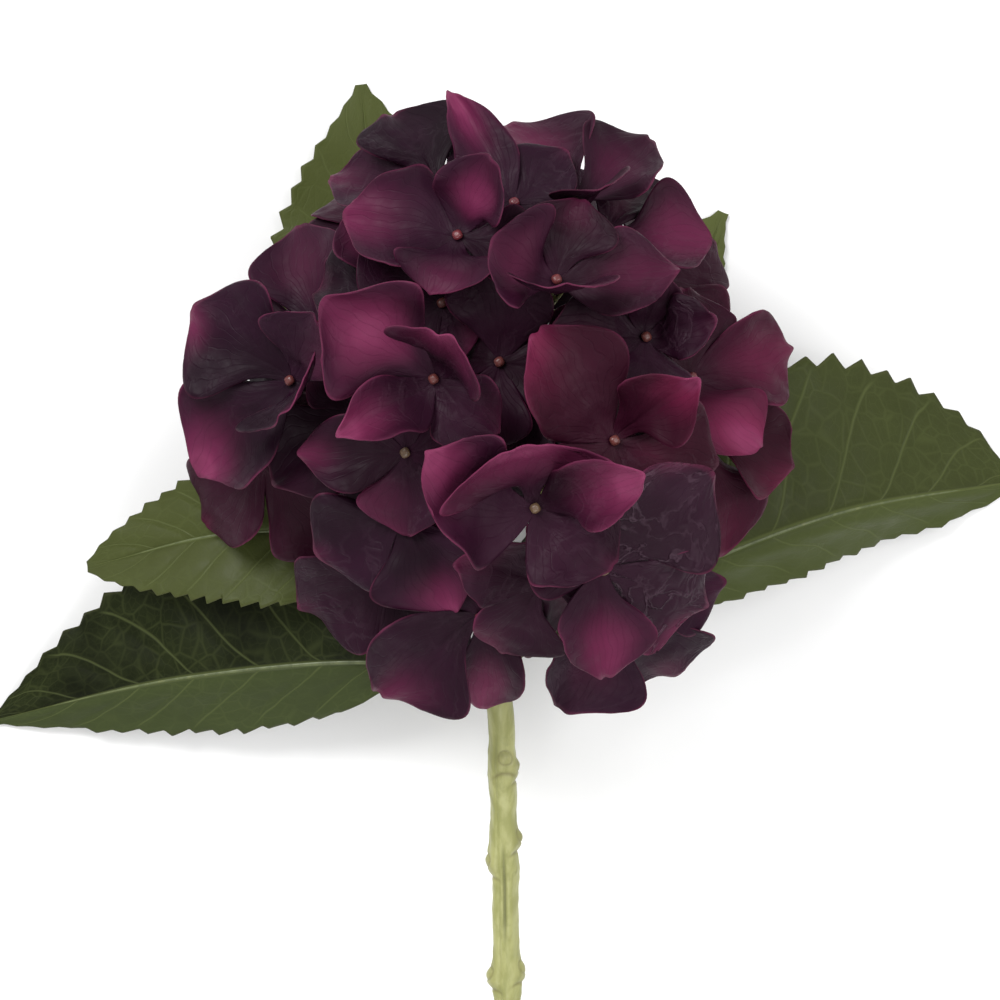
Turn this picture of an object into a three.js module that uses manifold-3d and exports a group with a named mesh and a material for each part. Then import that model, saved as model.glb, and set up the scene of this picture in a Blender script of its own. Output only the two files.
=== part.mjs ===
// Cut hydrangea: one artificial flower stem lying on its back on a flat surface.
// Millimetres, +Z up.  The flower head faces +Z, the stem runs towards -Y and its
// cut end, the leaf tips and the lowest sepals rest on z = 0.
import * as THREE from 'three';
import Module from 'manifold-3d';

// ---- driving dimensions (mm) ----
const STEM_DIAMETER = 7.5;
const STEM_LENGTH_SCALE = 1.0;     // stretches the bare stem below the lowest leaf
const HEAD_SCALE = 1.0;            // spreads the floret centres about the head centre
const SEPAL_SCALE = 1.08;          // times the listed length and width of every sepal
const LEAF_SCALE = 1.0;            // width of every leaf blade
const SEPAL_THICKNESS = 0.8;
const LEAF_THICKNESS = 0.9;
const HUB_RADIUS = 2.6;            // edge of the floret middle, where the sepals start
const BEAD_RADIUS = 1.4;           // bud in the middle of a floret
const BEAD_HEIGHT = 2.3;
const RAY_DIAMETER = 3.4;
const PEDICEL_DIAMETER = 1.7;
const FIT_GAP = 0.3;               // clearance left wherever two pieces meet
const TEETH_PER_SIDE = 16;
const STEM_TOLERANCE = 0.04;

const HEAD_CENTRE = new THREE.Vector3(-3, 24, 62);
const BRANCH_POINT = new THREE.Vector3(-5.4, -6, 58);
const FLOOR_Z = 0;

const deg = (a) => (a * Math.PI) / 180;
const vec = (x, y, z) => new THREE.Vector3(x, y, z);
const UP = vec(0, 0, 1);

const wasm = await Module();
wasm.setup();
const { Manifold, Mesh: ManifoldMesh } = wasm;

// ---- florets: centre, facing and the sepals that differ from the usual ----
// sepal: [azimuth, length, width, lift, curl, cup]  (angles in degrees)
const FLORETS = [
  { name: 'left_outer', at: [-55.0, 31.9, 82], face: [-0.36, -0.05, 0.93], sepals: [
    [146, 29, 29, 18, -30, 30], [212, 33, 28, 12, -24, 34],
    [-50, 23, 25, 66, 10, 34], [55, 20, 22, 34, 0, 24]] },
  { name: 'left_upper', at: [-48.9, 46.2, 66], face: [-0.4, 0.35, 0.85], sepals: [
    [98, 26, 24, 20, -28, 30], [-35, 17, 18, 40, -10, 30],
    [185, 22, 22, 0, -20, 20], [20, 20, 20, 30, 0, 20]] },
  { name: 'left_bowl', at: [-16.7, 31.8, 104], face: [-0.25, -0.1, 0.96], sepals: [
    [142, 31, 33, 2, 46, 40], [56, 26, 26, 52, 20, 40],
    [214, 27, 16, 36, 20, 46], [318, 18, 18, 10, -20, 20]] },
  { name: 'left_centre', at: [-24.2, 12.6, 96], face: [-0.35, -0.1, 0.93], sepals: [
    [181, 24, 17, 20, -14, 40], [12, 19, 17, 34, 20, 30],
    [95, 16, 18, -8, -20, 20], [268, 18, 20, -6, -20, 24]] },
  { name: 'mid_left', at: [-25.3, -2.6, 90], face: [-0.3, -0.35, 0.89], sepals: [
    [300, 25, 27, 18, -24, 30], [212, 24, 24, 14, -26, 30],
    [30, 18, 18, 4, -20, 20], [130, 18, 18, 4, -20, 20]] },
  { name: 'lower_left', at: [-29.0, -20.1, 68], face: [-0.35, -0.5, 0.79], sepals: [
    [318, 28, 26, 20, -20, 36], [212, 26, 26, 12, -24, 30],
    [120, 20, 20, 10, -20, 20], [30, 20, 20, 10, -20, 20]] },
  { name: 'bottom_left', at: [-4.8, -29.7, 86], face: [-0.1, -0.55, 0.83], sepals: [
    [226, 34, 28, 12, -24, 34], [278, 31, 19, 24, -18, 40],
    [350, 20, 20, -6, -20, 20], [130, 20, 20, 6, -20, 20]] },
  { name: 'front', at: [9.1, -2.1, 115], face: [0.0, -0.15, 0.99], sepals: [
    [168, 29, 28, 30, 12, 46], [325, 21, 23, 12, -10, 34],
    [104, 22, 38, 62, 40, 34], [24, 35, 18, 40, 14, 48]] },
  { name: 'bottom_centre', at: [10.5, -22.6, 97], face: [0.1, -0.45, 0.89], sepals: [
    [6, 18, 17, 30, -10, 30], [138, 20, 17, 40, 14, 30],
    [250, 21, 21, -4, -24, 24], [310, 18, 19, 8, -20, 24]] },
  { name: 'right_lower', at: [26.6, -17.5, 105], face: [0.3, -0.4, 0.87], sepals: [
    [38, 32, 30, 10, -22, 30], [330, 30, 27, 2, -24, 26],
    [272, 27, 21, 14, -24, 34], [165, 18, 20, 24, -6, 30]] },
  { name: 'bottom_right', at: [34.5, -29.0, 70], face: [0.25, -0.55, 0.79], sepals: [
    [236, 29, 27, 16, -20, 30], [296, 28, 26, 12, -24, 30],
    [10, 22, 20, 10, -20, 20], [120, 22, 20, 10, -20, 20]] },
  { name: 'right_mid', at: [54.1, 18.2, 72], face: [0.7, -0.1, 0.7], sepals: [
    [284, 31, 25, 12, -26, 28], [338, 25, 23, 26, -14, 40],
    [200, 20, 20, 18, -10, 24], [92, 20, 20, 10, -20, 24]] },
  { name: 'right_outer', at: [50.4, 32.5, 82], face: [0.5, 0.05, 0.86], sepals: [
    [16, 29, 24, 12, -30, 50], [300, 22, 20, 28, -10, 30],
    [100, 20, 22, 6, -20, 24], [190, 17, 18, 20, -10, 24]] },
  { name: 'right_centre', at: [29.5, 15.4, 105], face: [0.25, 0.05, 0.97], sepals: [
    [350, 26, 24, 16, -34, 34], [128, 31, 27, 20, -20, 32],
    [44, 28, 20, 48, 8, 44], [235, 18, 20, 8, -20, 24]] },
  { name: 'right_small', at: [38.2, 42.7, 94], face: [0.3, 0.2, 0.93], sepals: [
    [88, 15, 16, 44, 20, 50], [12, 18, 14, 50, 6, 30],
    [182, 22, 21, 14, -20, 30], [268, 18, 20, 12, -20, 24]] },
  { name: 'upper_right', at: [14.6, 57.1, 106], face: [0.12, 0.3, 0.95], sepals: [
    [74, 19, 21, 18, -16, 34], [8, 27, 19, 12, -22, 30],
    [160, 18, 27, 30, 6, 40], [272, 22, 24, 66, 14, 30]] },
  { name: 'right_upper', at: [27.5, 70.5, 84], face: [0.3, 0.5, 0.81], sepals: [
    [6, 25, 25, 16, -26, 34], [58, 26, 24, 6, -24, 34],
    [140, 20, 20, 4, -20, 20], [280, 20, 20, 8, -20, 20]] },
  { name: 'right_shoulder', at: [44.0, 60.0, 62], face: [0.7, 0.35, 0.62], sepals: [
    [48, 20, 21, 18, -20, 34], [318, 20, 19, 24, -20, 34],
    [200, 18, 20, 10, -20, 20], [120, 20, 20, 8, -20, 20]] },
  { name: 'top_centre', at: [20.5, 80.0, 85], face: [0.1, 0.6, 0.79], sepals: [
    [112, 28, 26, 20, -18, 44], [48, 25, 22, 12, -24, 40],
    [190, 19, 21, 24, -10, 30], [300, 18, 20, 30, -6, 30]] },
  { name: 'top_spike', at: [4.0, 78.0, 90], face: [-0.05, 0.35, 0.93], sepals: [
    [118, 31, 12, 8, -8, 34], [50, 17, 16, 2, -14, 24],
    [308, 20, 18, 14, -20, 30], [210, 20, 20, 6, -20, 24]] },
  { name: 'top_left', at: [-17.0, 82.5, 82], face: [-0.15, 0.5, 0.85], sepals: [
    [98, 24, 26, 14, -26, 34], [166, 29, 17, 10, -20, 40],
    [30, 18, 18, 4, -20, 24], [250, 20, 20, 14, -20, 24]] },
  { name: 'upper_left', at: [-11.0, 69.1, 102], face: [-0.15, 0.3, 0.94], sepals: [
    [166, 26, 23, 14, -24, 34], [50, 22, 21, 34, 30, 56],
    [268, 14, 24, 40, -20, 40], [345, 18, 18, 6, -20, 24]] },
  { name: 'left_shoulder', at: [-35.8, 71.3, 62], face: [-0.4, 0.55, 0.73], sepals: [
    [174, 25, 16, 14, -20, 40], [96, 20, 20, 0, -24, 24],
    [250, 20, 20, 10, -20, 24], [20, 20, 20, 4, -20, 24]] },
  { name: 'left_fan', at: [-27.0, 56.1, 86], face: [-0.3, 0.3, 0.9], sepals: [
    [112, 22, 18, 26, -20, 40], [190, 22, 21, 14, -24, 30],
    [262, 18, 19, 10, -20, 24], [30, 18, 18, 2, -20, 24]] },
  { name: 'left_lower', at: [-63.4, 10.4, 60], face: [-0.6, -0.2, 0.77], sepals: [
    [222, 27, 23, 8, -26, 30], [322, 30, 27, 22, -18, 34],
    [140, 20, 20, 6, -20, 24], [70, 20, 20, 4, -20, 24]] },
  { name: 'middle', at: [0.0, 36.5, 92], face: [0.0, 0.0, 1.0], sepals: [
    [80, 24, 23, 4, -16, 24], [350, 22, 22, 8, -16, 24],
    [170, 18, 20, 4, -20, 24], [255, 20, 20, 6, -20, 24]] },
  { name: 'inner_left', at: [-38, 24, 76], face: [-0.25, 0, 0.97] },
  { name: 'inner_low', at: [-5, 16, 84], face: [0, -0.1, 1] },
  { name: 'inner_right', at: [14, 30, 84], face: [0.1, 0, 1] },
  { name: 'inner_top', at: [-15, 52, 88], face: [-0.1, 0.15, 1] },
  { name: 'back_left', at: [-50, 24, 34], face: [-0.85, 0.0, -0.45] },
  { name: 'back_right', at: [45, 28, 30], face: [0.82, 0.1, -0.55] },
  { name: 'back_top', at: [11, 75, 54], face: [0.05, 0.8, 0.55] },
  { name: 'back_upper_left', at: [-36, 56, 30], face: [-0.55, 0.6, -0.5] },
  { name: 'back_upper_right', at: [32, 60, 30], face: [0.5, 0.65, -0.5] },
  { name: 'back_lower_left', at: [-34, -6, 34], face: [-0.6, -0.55, -0.5] },
  { name: 'back_lower_right', at: [29.5, -9, 33], face: [0.64, -0.52, -0.44] },
];

// ---- leaves: where the petiole leaves the stem (rootY), start of the blade, middle and
// tip of the midrib ----
// side: direction the first half of the blade points in; halves: width of the two
// halves; folds: degrees by which each half rises; taper: how early the blade narrows
const LEAVES = [
  { name: 'leaf_right', rootY: -45, base: [40, -24, 40], mid: [92, -4, 30],
    tip: [143, 5, 0], side: [-0.25, 0.95, -0.1], halves: [46, 19], folds: [6, -48],
    taper: 0.6, petiole: 3.4 },
  { name: 'leaf_mid_left', rootY: -34, base: [-28, -12, 44], mid: [-72, -9, 38],
    tip: [-114, -18.5, 22], side: [0.2, 0.95, -0.1], halves: [20, 21], folds: [10, 6],
    taper: 0.75, petiole: 3.0 },
  { name: 'leaf_lower_left', rootY: -53, base: [-28, -45, 36],
    mid: [-86, -49, 22], tip: [-143, -62, 0], side: [-0.15, 0.97, -0.1], halves: [35, 20],
    folds: [8, -35], taper: 1.0, petiole: 3.2 },
  { name: 'leaf_upper_left', rootY: -20, base: [-14, 18, 6], mid: [-33, 70, 0.9],
    tip: [-39, 117, 0.5], side: [-0.95, -0.3, 0.02], halves: [34, 33], folds: [3, 3],
    taper: 1.0, petiole: 3.2 },
  { name: 'leaf_upper_right', rootY: -26, base: [24, 8, 6], mid: [48, 44, 0.9],
    tip: [63, 81, 0.5], side: [-0.9, 0.42, 0.02], halves: [28, 12], folds: [3, 3],
    taper: 0.9, petiole: 3.2 },
];

// ---- stem centre line: from the branch point down to the cut end ----
const STEM_PATH = [
  [-5.4, -6.0, 58], [-3.4, -30, 51.5], [0.5, -60.2, 42], [0.9, -74, 37.8],
  [1.4, -102.3, 28], [2.0, -135.3, 17],
];
const CUT_END = [3.0, -135.3 - 52 * STEM_LENGTH_SCALE, 0.5 * STEM_DIAMETER];
// swellings where old leaves were: distance along the Y axis, height, spread, side angle
const KNOTS = [
  { y: -74, rise: 0.9, spread: 2.6, angle: 90 }, { y: -73, rise: 0.7, spread: 3.4, angle: 0 },
  { y: -95, rise: 1.1, spread: 3.6, angle: 5 }, { y: -102, rise: 0.9, spread: 3.2, angle: 175 },
  { y: -132, rise: 1.0, spread: 3.6, angle: 10 }, { y: -134, rise: 0.9, spread: 3.2, angle: 170 },
  { y: -163, rise: 0.9, spread: 3.6, angle: 30 },
];

// ends of the thick rays inside the head, where the floret stalks branch off
const RAY_ENDS = [
  [-25, 30, 60], [-13, 6, 66], [14, 4, 68], [24, 24, 64], [12, 50, 68],
  [-16, 48, 66], [-18, 16, 44], [16, 18, 44], [0, 48, 44],
];

// sepals of the florets whose shape is not given above
const USUAL_SEPALS = [
  [40, 25, 24, 12, -22, 30], [130, 25, 24, -2, -22, 26],
  [220, 25, 24, 12, -22, 30], [310, 25, 24, -2, -22, 26],
];

// steps tried, in this order, until a sepal clears its neighbours (degrees, degrees, share)
const NUDGE_LIFTS = [0, -6, 6, -12, 12, -18, 18, -26, 26, -36, 36, -48, 48, -62, 62];
const NUDGE_TURNS = [0, -9, 9, -18, 18];
const NUDGE_SCALES = [1, 0.94, 0.87, 0.8, 0.72, 0.63, 0.54, 0.45, 0.36, 0.28];

// ---- mesh helpers ----
function toManifold(positions, triangles) {
  return new Manifold(new ManifoldMesh({
    numProp: 3,
    vertProperties: new Float32Array(positions.flatMap((p) => [p.x, p.y, p.z])),
    triVerts: new Uint32Array(triangles.flat()),
  }));
}

function geometryOf(positions, triangles) {
  const geometry = new THREE.BufferGeometry();
  const flat = new Float32Array(positions.flatMap((p) => [p.x, p.y, p.z]));
  geometry.setAttribute('position', new THREE.BufferAttribute(flat, 3));
  geometry.setIndex(triangles.flat());
  geometry.computeVertexNormals();
  return geometry;
}

function quad(list, a, b, c, d) {
  list.push([a, b, c], [a, c, d]);
}

// closed tube with flat caps; stations are { p, t } and radius is (index, angle) => mm
function tube(stations, sides, radius) {
  const positions = [];
  const triangles = [];
  const last = stations.length - 1;
  stations.forEach(({ p, t }, i) => {
    const right = new THREE.Vector3().crossVectors(t, UP);
    if (right.length() < 0.05) right.set(1, 0, 0).addScaledVector(t, -t.x);
    right.normalize();
    const over = new THREE.Vector3().crossVectors(right, t).normalize();
    for (let k = 0; k < sides; k += 1) {
      const a = (2 * Math.PI * k) / sides;
      positions.push(p.clone().addScaledVector(right, radius(i, a) * Math.cos(a))
        .addScaledVector(over, radius(i, a) * Math.sin(a)));
    }
  });
  for (let i = 0; i < last; i += 1) {
    for (let k = 0; k < sides; k += 1) {
      const n = (k + 1) % sides;
      quad(triangles, i * sides + k, (i + 1) * sides + k, (i + 1) * sides + n, i * sides + n);
    }
  }
  const first = positions.push(stations[0].p.clone()) - 1;
  const end = positions.push(stations[last].p.clone()) - 1;
  for (let k = 0; k < sides; k += 1) {
    const n = (k + 1) % sides;
    triangles.push([first, k, n], [end, last * sides + n, last * sides + k]);
  }
  return outward(toManifold(positions, triangles));
}

function outward(solid) {
  if (solid.volume() <= 0) throw new Error('inside-out solid');
  return solid;
}

// ---- sepal surface ----
const ROWS = 4;
const CELLS = 3;
const ROW_STATION = [0, 0.24, 0.55, 0.84, 1.0];
const ROW_WIDTH = [0, 0.97, 1.2, 1.0, 0.62];
const ROW_DROOP = [0, 0.0, 0.02, 0.05, 0.09];
const ROW_CUP = [0, 0.6, 1.3, 1.0, 0.7];

function floretFrame(face) {
  const n = face.clone().normalize();
  const x = vec(1, 0, 0).addScaledVector(n, -n.x).normalize();
  const y = new THREE.Vector3().crossVectors(n, x);
  return { n, x, y };
}

function flatDirection(frame, azimuth) {
  return frame.x.clone().multiplyScalar(Math.cos(azimuth))
    .addScaledVector(frame.y, Math.sin(azimuth));
}

// rows of middle-surface points with their normals, base row on the hub edge
function sepalRows(floret, index, nudge) {
  const { frame, centre, corners } = floret;
  const [azimuth, length, width, lift, curl, cup] = floret.sepals[index];
  const size = nudge.scale * SEPAL_SCALE;
  const a0 = deg(azimuth);
  const from = corners[index];
  const to = corners[index + 1];
  const rows = [];
  const steps = 24;
  const spine = [];
  let r = HUB_RADIUS;
  let h = 0;
  for (let i = 0; i <= steps; i += 1) {
    const slope = deg(lift + nudge.lift) + deg(curl) * (i / steps);
    spine.push({ r, h, slope });
    r += (Math.cos(slope) * length * size) / steps;
    h += (Math.sin(slope) * length * size) / steps;
  }
  for (let j = 0; j <= ROWS; j += 1) {
    const row = [];
    for (let i = 0; i <= CELLS; i += 1) {
      const b = (2 * i) / CELLS - 1;
      if (j === 0) {
        const angle = from + ((to - from) * i) / CELLS;
        row.push({
          p: centre.clone().addScaledVector(flatDirection(frame, angle), HUB_RADIUS),
          n: frame.n.clone(),
        });
        continue;
      }
      const station = ROW_STATION[j] - ROW_DROOP[j] * b * b;
      const k = Math.min(Math.floor(station * steps), steps - 1);
      const t = station * steps - k;
      const s0 = spine[k];
      const s1 = spine[k + 1];
      const rr = s0.r + (s1.r - s0.r) * t;
      const hh = s0.h + (s1.h - s0.h) * t;
      const slope = s0.slope + (s1.slope - s0.slope) * t;
      let half = 0.5 * width * size * ROW_WIDTH[j];
      if (j === 1) {
        const wedge = b < 0 ? a0 - from : to - a0;
        half = Math.min(half, rr * Math.tan(Math.min(wedge, deg(70)) * 0.88));
      }
      const bend = a0 + deg(nudge.turn) * station;
      const out = flatDirection(frame, bend);
      const across = new THREE.Vector3().crossVectors(frame.n, out);
      const normal = out.clone().multiplyScalar(-Math.sin(slope))
        .addScaledVector(frame.n, Math.cos(slope));
      const c = Math.max(deg(cup), 0.02) * ROW_CUP[j];
      const side = (half / c) * Math.sin(c * b);
      const rise = (half / c) * (1 - Math.cos(c * b));
      const p = centre.clone().addScaledVector(out, rr).addScaledVector(frame.n, hh)
        .addScaledVector(across, side).addScaledVector(normal, rise);
      const n = normal.clone().multiplyScalar(Math.cos(c * b))
        .addScaledVector(across, -Math.sin(c * b)).normalize();
      row.push({ p, n });
    }
    rows.push(row);
  }
  return rows;
}

// closed solid over rows first..ROWS, used for the clearance tests
function sepalSolid(rows, first) {
  const positions = [];
  const triangles = [];
  const nv = CELLS + 1;
  const used = rows.slice(first);
  for (const sign of [1, -1]) {
    for (const row of used) {
      for (const q of row) {
        positions.push(q.p.clone().addScaledVector(q.n, (sign * SEPAL_THICKNESS) / 2));
      }
    }
  }
  const lower = used.length * nv;
  const id = (j, i) => j * nv + i;
  for (let j = 0; j < used.length - 1; j += 1) {
    for (let i = 0; i < CELLS; i += 1) {
      quad(triangles, id(j, i), id(j + 1, i), id(j + 1, i + 1), id(j, i + 1));
      quad(triangles, lower + id(j, i + 1), lower + id(j + 1, i + 1), lower + id(j + 1, i),
        lower + id(j, i));
    }
  }
  const rim = rimLoop(used.length - 1, id);
  rim.push(...Array.from({ length: CELLS - 1 }, (_, i) => id(0, CELLS - 1 - i)));
  for (let k = 0; k < rim.length; k += 1) {
    const a = rim[k];
    const b = rim[(k + 1) % rim.length];
    quad(triangles, lower + a, lower + b, b, a);
  }
  return toManifold(positions, triangles);
}

// ids from the base of one side, round the tip, to the base of the other side
function rimLoop(last, id) {
  const rim = [];
  for (let j = 0; j <= last; j += 1) rim.push(id(j, 0));
  for (let i = 1; i < CELLS; i += 1) rim.push(id(last, i));
  for (let j = last; j >= 0; j -= 1) rim.push(id(j, CELLS));
  return rim;
}

// ---- one closed floret: hub with a bead, and four sepals grown from its edge ----
function floretMesh(floret) {
  const { frame, centre, corners } = floret;
  const positions = [];
  const triangles = [];
  const sides = 4 * CELLS;
  const half = SEPAL_THICKNESS / 2;
  const hubAngle = (k) => {
    const s = Math.floor(k / CELLS);
    return corners[s] + ((corners[s + 1] - corners[s]) * (k % CELLS)) / CELLS;
  };
  const ring = (radius, height) => {
    const start = positions.length;
    for (let k = 0; k < sides; k += 1) {
      positions.push(centre.clone().addScaledVector(flatDirection(frame, hubAngle(k)), radius)
        .addScaledVector(frame.n, height));
    }
    return (k) => start + (k % sides);
  };
  const top = ring(HUB_RADIUS, half);
  const bottom = ring(HUB_RADIUS, -half);
  const belly = ring(BEAD_RADIUS, half + 0.55 * BEAD_HEIGHT);
  const foot = ring(0.45 * HUB_RADIUS, -half - 1.3);
  const apex = positions.push(centre.clone().addScaledVector(frame.n, half + BEAD_HEIGHT)) - 1;
  const base = positions.push(centre.clone().addScaledVector(frame.n, -half - 1.3)) - 1;
  for (let k = 0; k < sides; k += 1) {
    quad(triangles, top(k), top(k + 1), belly(k + 1), belly(k));
    triangles.push([belly(k), belly(k + 1), apex]);
    quad(triangles, bottom(k + 1), bottom(k), foot(k), foot(k + 1));
    triangles.push([foot(k + 1), foot(k), base]);
  }
  floret.rows.forEach((rows, s) => {
    const grid = rows.map((row, j) => row.map((q, i) => {
      if (j === 0) return [top(s * CELLS + i), bottom(s * CELLS + i)];
      const pair = [positions.length, positions.length + 1];
      positions.push(q.p.clone().addScaledVector(q.n, half));
      positions.push(q.p.clone().addScaledVector(q.n, -half));
      return pair;
    }));
    for (let j = 0; j < ROWS; j += 1) {
      for (let i = 0; i < CELLS; i += 1) {
        const [a, b, c, d] = [grid[j][i], grid[j + 1][i], grid[j + 1][i + 1], grid[j][i + 1]];
        quad(triangles, a[0], b[0], c[0], d[0]);
        quad(triangles, d[1], c[1], b[1], a[1]);
      }
    }
    const rim = rimLoop(ROWS, (j, i) => grid[j][i]);
    for (let k = 0; k < rim.length - 1; k += 1) {
      quad(triangles, rim[k][1], rim[k + 1][1], rim[k + 1][0], rim[k][0]);
    }
  });
  return { positions, triangles };
}

// ---- centre line of the stalk ----
const STALK_CURVE = new THREE.CatmullRomCurve3([...STEM_PATH, CUT_END].map((p) => vec(...p)));

function stalkAt(y) {
  let low = 0;
  let high = 1;
  for (let i = 0; i < 30; i += 1) {
    const t = 0.5 * (low + high);
    if (STALK_CURVE.getPoint(t).y > y) low = t;
    else high = t;
  }
  return { p: STALK_CURVE.getPoint(low), t: STALK_CURVE.getTangent(low) };
}

// end of a petiole that points at the base of its blade and just clears the stalk
function petioleRoot(leaf, base) {
  const { p, t } = stalkAt(leaf.rootY);
  const out = base.clone().sub(p).normalize();
  const lean = Math.abs(out.dot(t));
  const clear = 0.5 * STEM_DIAMETER + FIT_GAP + 0.65 * leaf.petiole * lean;
  return p.clone().addScaledVector(out, clear / Math.sqrt(1 - lean * lean));
}

// ---- leaf: petiole and toothed blade in one closed sheet ----
function leafMesh(leaf) {
  const base = vec(...leaf.base);
  const root = petioleRoot(leaf, base);
  const mid = vec(...leaf.mid);
  const tip = vec(...leaf.tip);
  const petiole = [0, 0.35, 0.7].map((t) => root.clone().lerp(base, t)
    .addScaledVector(UP, 2.5 * t * (1 - t)));
  const curve = new THREE.CatmullRomCurve3([root, base, mid, tip]);
  const start = 1 / 3;
  const stations = [];
  petiole.forEach((p) => stations.push({
    p, share: 0, thick: leaf.petiole * 0.8, along: base.clone().sub(root).normalize(), sweep: 0,
  }));
  const count = 2 * TEETH_PER_SIDE + 1;
  for (let k = 0; k <= count; k += 1) {
    const s = k / count;
    const u = start + (1 - start) * s;
    const shape = Math.pow(Math.sin(Math.PI * Math.pow(0.03 + 0.96 * s, 0.72)), leaf.taper);
    const tooth = k % 2 === 1 ? 1.03 + 0.02 * Math.sin(2.1 * k) : 0.95;
    stations.push({
      p: curve.getPoint(u),
      along: curve.getTangent(u).normalize(),
      share: shape * tooth,
      thick: Math.max(LEAF_THICKNESS, leaf.petiole * 0.8 * (1 - 5 * s)),
      sweep: (k % 2 === 1 ? 2.6 : 0.4) * shape,
    });
  }
  const side = vec(...leaf.side).normalize();
  const positions = [];
  const triangles = [];
  const cells = 4;
  for (const sign of [1, -1]) {
    for (const st of stations) {
      const across = side.clone().addScaledVector(st.along, -side.dot(st.along)).normalize();
      let normal = new THREE.Vector3().crossVectors(st.along, across);
      if (normal.z < 0) normal = normal.negate();
      for (let i = 0; i <= cells; i += 1) {
        const b = (2 * i) / cells - 1;
        const h = b < 0 ? 0 : 1;
        const blade = leaf.halves[h] * LEAF_SCALE * st.share;
        const half = Math.max(blade, 0.5 * leaf.petiole);
        const fold = deg(leaf.folds[h]) * Math.min(blade / 8, 1);
        const thin = st.thick * (1 - 0.25 * Math.abs(b));
        const p = st.p.clone()
          .addScaledVector(across, -b * half * Math.cos(fold))
          .addScaledVector(st.along, st.sweep * b * b)
          .addScaledVector(normal, Math.abs(b) * half * Math.sin(fold) + (sign * thin) / 2);
        p.z = Math.max(p.z, sign > 0 ? FLOOR_Z + thin : FLOOR_Z);
        positions.push(p);
      }
    }
  }
  const nv = cells + 1;
  const lower = stations.length * nv;
  const last = stations.length - 1;
  const id = (j, i) => j * nv + i;
  for (let j = 0; j < last; j += 1) {
    for (let i = 0; i < cells; i += 1) {
      quad(triangles, id(j, i), id(j, i + 1), id(j + 1, i + 1), id(j + 1, i));
      quad(triangles, lower + id(j, i), lower + id(j + 1, i), lower + id(j + 1, i + 1),
        lower + id(j, i + 1));
    }
  }
  const rim = [];
  for (let i = 0; i < cells; i += 1) rim.push(id(0, i));
  for (let j = 0; j < last; j += 1) rim.push(id(j, cells));
  for (let i = cells; i > 0; i -= 1) rim.push(id(last, i));
  for (let j = last; j > 0; j -= 1) rim.push(id(j, 0));
  rim.forEach((a, k) => {
    const b = rim[(k + 1) % rim.length];
    quad(triangles, a, lower + a, lower + b, b);
  });
  const flips = toManifold(positions, triangles).volume() < 0;
  return { positions, triangles: flips ? triangles.map(([a, b, c]) => [a, c, b]) : triangles };
}

// ---- stem: stalk with knots, rays and pedicels grown together ----
function spread(p) {
  return p.clone().sub(HEAD_CENTRE).multiplyScalar(HEAD_SCALE).add(HEAD_CENTRE);
}

function bezier(a, b, c, d, steps) {
  const curve = new THREE.CubicBezierCurve3(a, b, c, d);
  return Array.from({ length: steps + 1 }, (_, i) => (
    { p: curve.getPoint(i / steps), t: curve.getTangent(i / steps) }));
}

function stalk() {
  const steps = 34;
  const stations = Array.from({ length: steps + 1 }, (_, i) => (
    { p: STALK_CURVE.getPointAt(i / steps), t: STALK_CURVE.getTangentAt(i / steps) }));
  const swell = (i, a) => {
    let r = 0.5 * STEM_DIAMETER;
    for (const knot of KNOTS) {
      const along = (stations[i].p.y - knot.y) / knot.spread;
      const turn = Math.cos(a - deg(knot.angle));
      r += knot.rise * Math.exp(-along * along) * Math.max(turn, 0) ** 2;
    }
    return r;
  };
  return tube(stations, 12, swell);
}

function buildStem(florets) {
  let solid = stalk();
  const rayEnds = RAY_ENDS.map((p) => spread(vec(...p)));
  for (const end of rayEnds) {
    const out = end.clone().sub(BRANCH_POINT);
    const low = BRANCH_POINT.clone().addScaledVector(out.clone().normalize(), -2);
    const ray = bezier(low, low.clone().addScaledVector(out, 0.35),
      end.clone().addScaledVector(out, -0.3), end, 2);
    solid = solid.add(tube(ray, 6, () => 0.5 * RAY_DIAMETER));
  }
  for (const { frame, centre } of florets) {
    const hub = centre.clone().addScaledVector(frame.n, -(0.5 * SEPAL_THICKNESS + 1.3 + FIT_GAP));
    const near = rayEnds.reduce((a, b) => (a.distanceTo(hub) < b.distanceTo(hub) ? a : b));
    const reach = near.distanceTo(hub);
    const low = near.clone().addScaledVector(hub.clone().sub(near).normalize(), -1);
    const pedicel = bezier(low, low.clone().lerp(hub, 0.3),
      hub.clone().addScaledVector(frame.n, -0.45 * reach), hub, 4);
    solid = solid.add(tube(pedicel, 5, () => 0.5 * PEDICEL_DIAMETER));
  }
  return solid.simplify(STEM_TOLERANCE);
}

// ---- place every sepal in the first position that clears its neighbours ----
function boxOf(solid) {
  const { min, max } = solid.boundingBox();
  return new THREE.Box3(vec(...min), vec(...max));
}

function clears(solid, obstacles, gap) {
  const box = boxOf(solid);
  if (box.min.z < FLOOR_Z) return false;
  const reach = box.clone().expandByScalar(gap);
  return obstacles.every((o) => !reach.intersectsBox(o.box) || solid.minGap(o.solid, gap) >= gap);
}

function findRoom(floret, index, placed, own) {
  const others = placed.filter((o) => o.owner !== floret);
  for (const scale of NUDGE_SCALES) {
    for (const lift of NUDGE_LIFTS) {
      for (const turn of NUDGE_TURNS) {
        const rows = sepalRows(floret, index, { scale, lift, turn });
        const outer = sepalSolid(rows, 1);
        const apart = own.every((o) => outer.minGap(o, FIT_GAP) >= 0.5 * FIT_GAP);
        if (apart && clears(sepalSolid(rows, 0), others, FIT_GAP)) {
          own.push(outer);
          return rows;
        }
      }
    }
  }
  throw new Error(`no room for sepal ${index} of ${floret.name}`);
}

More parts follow.
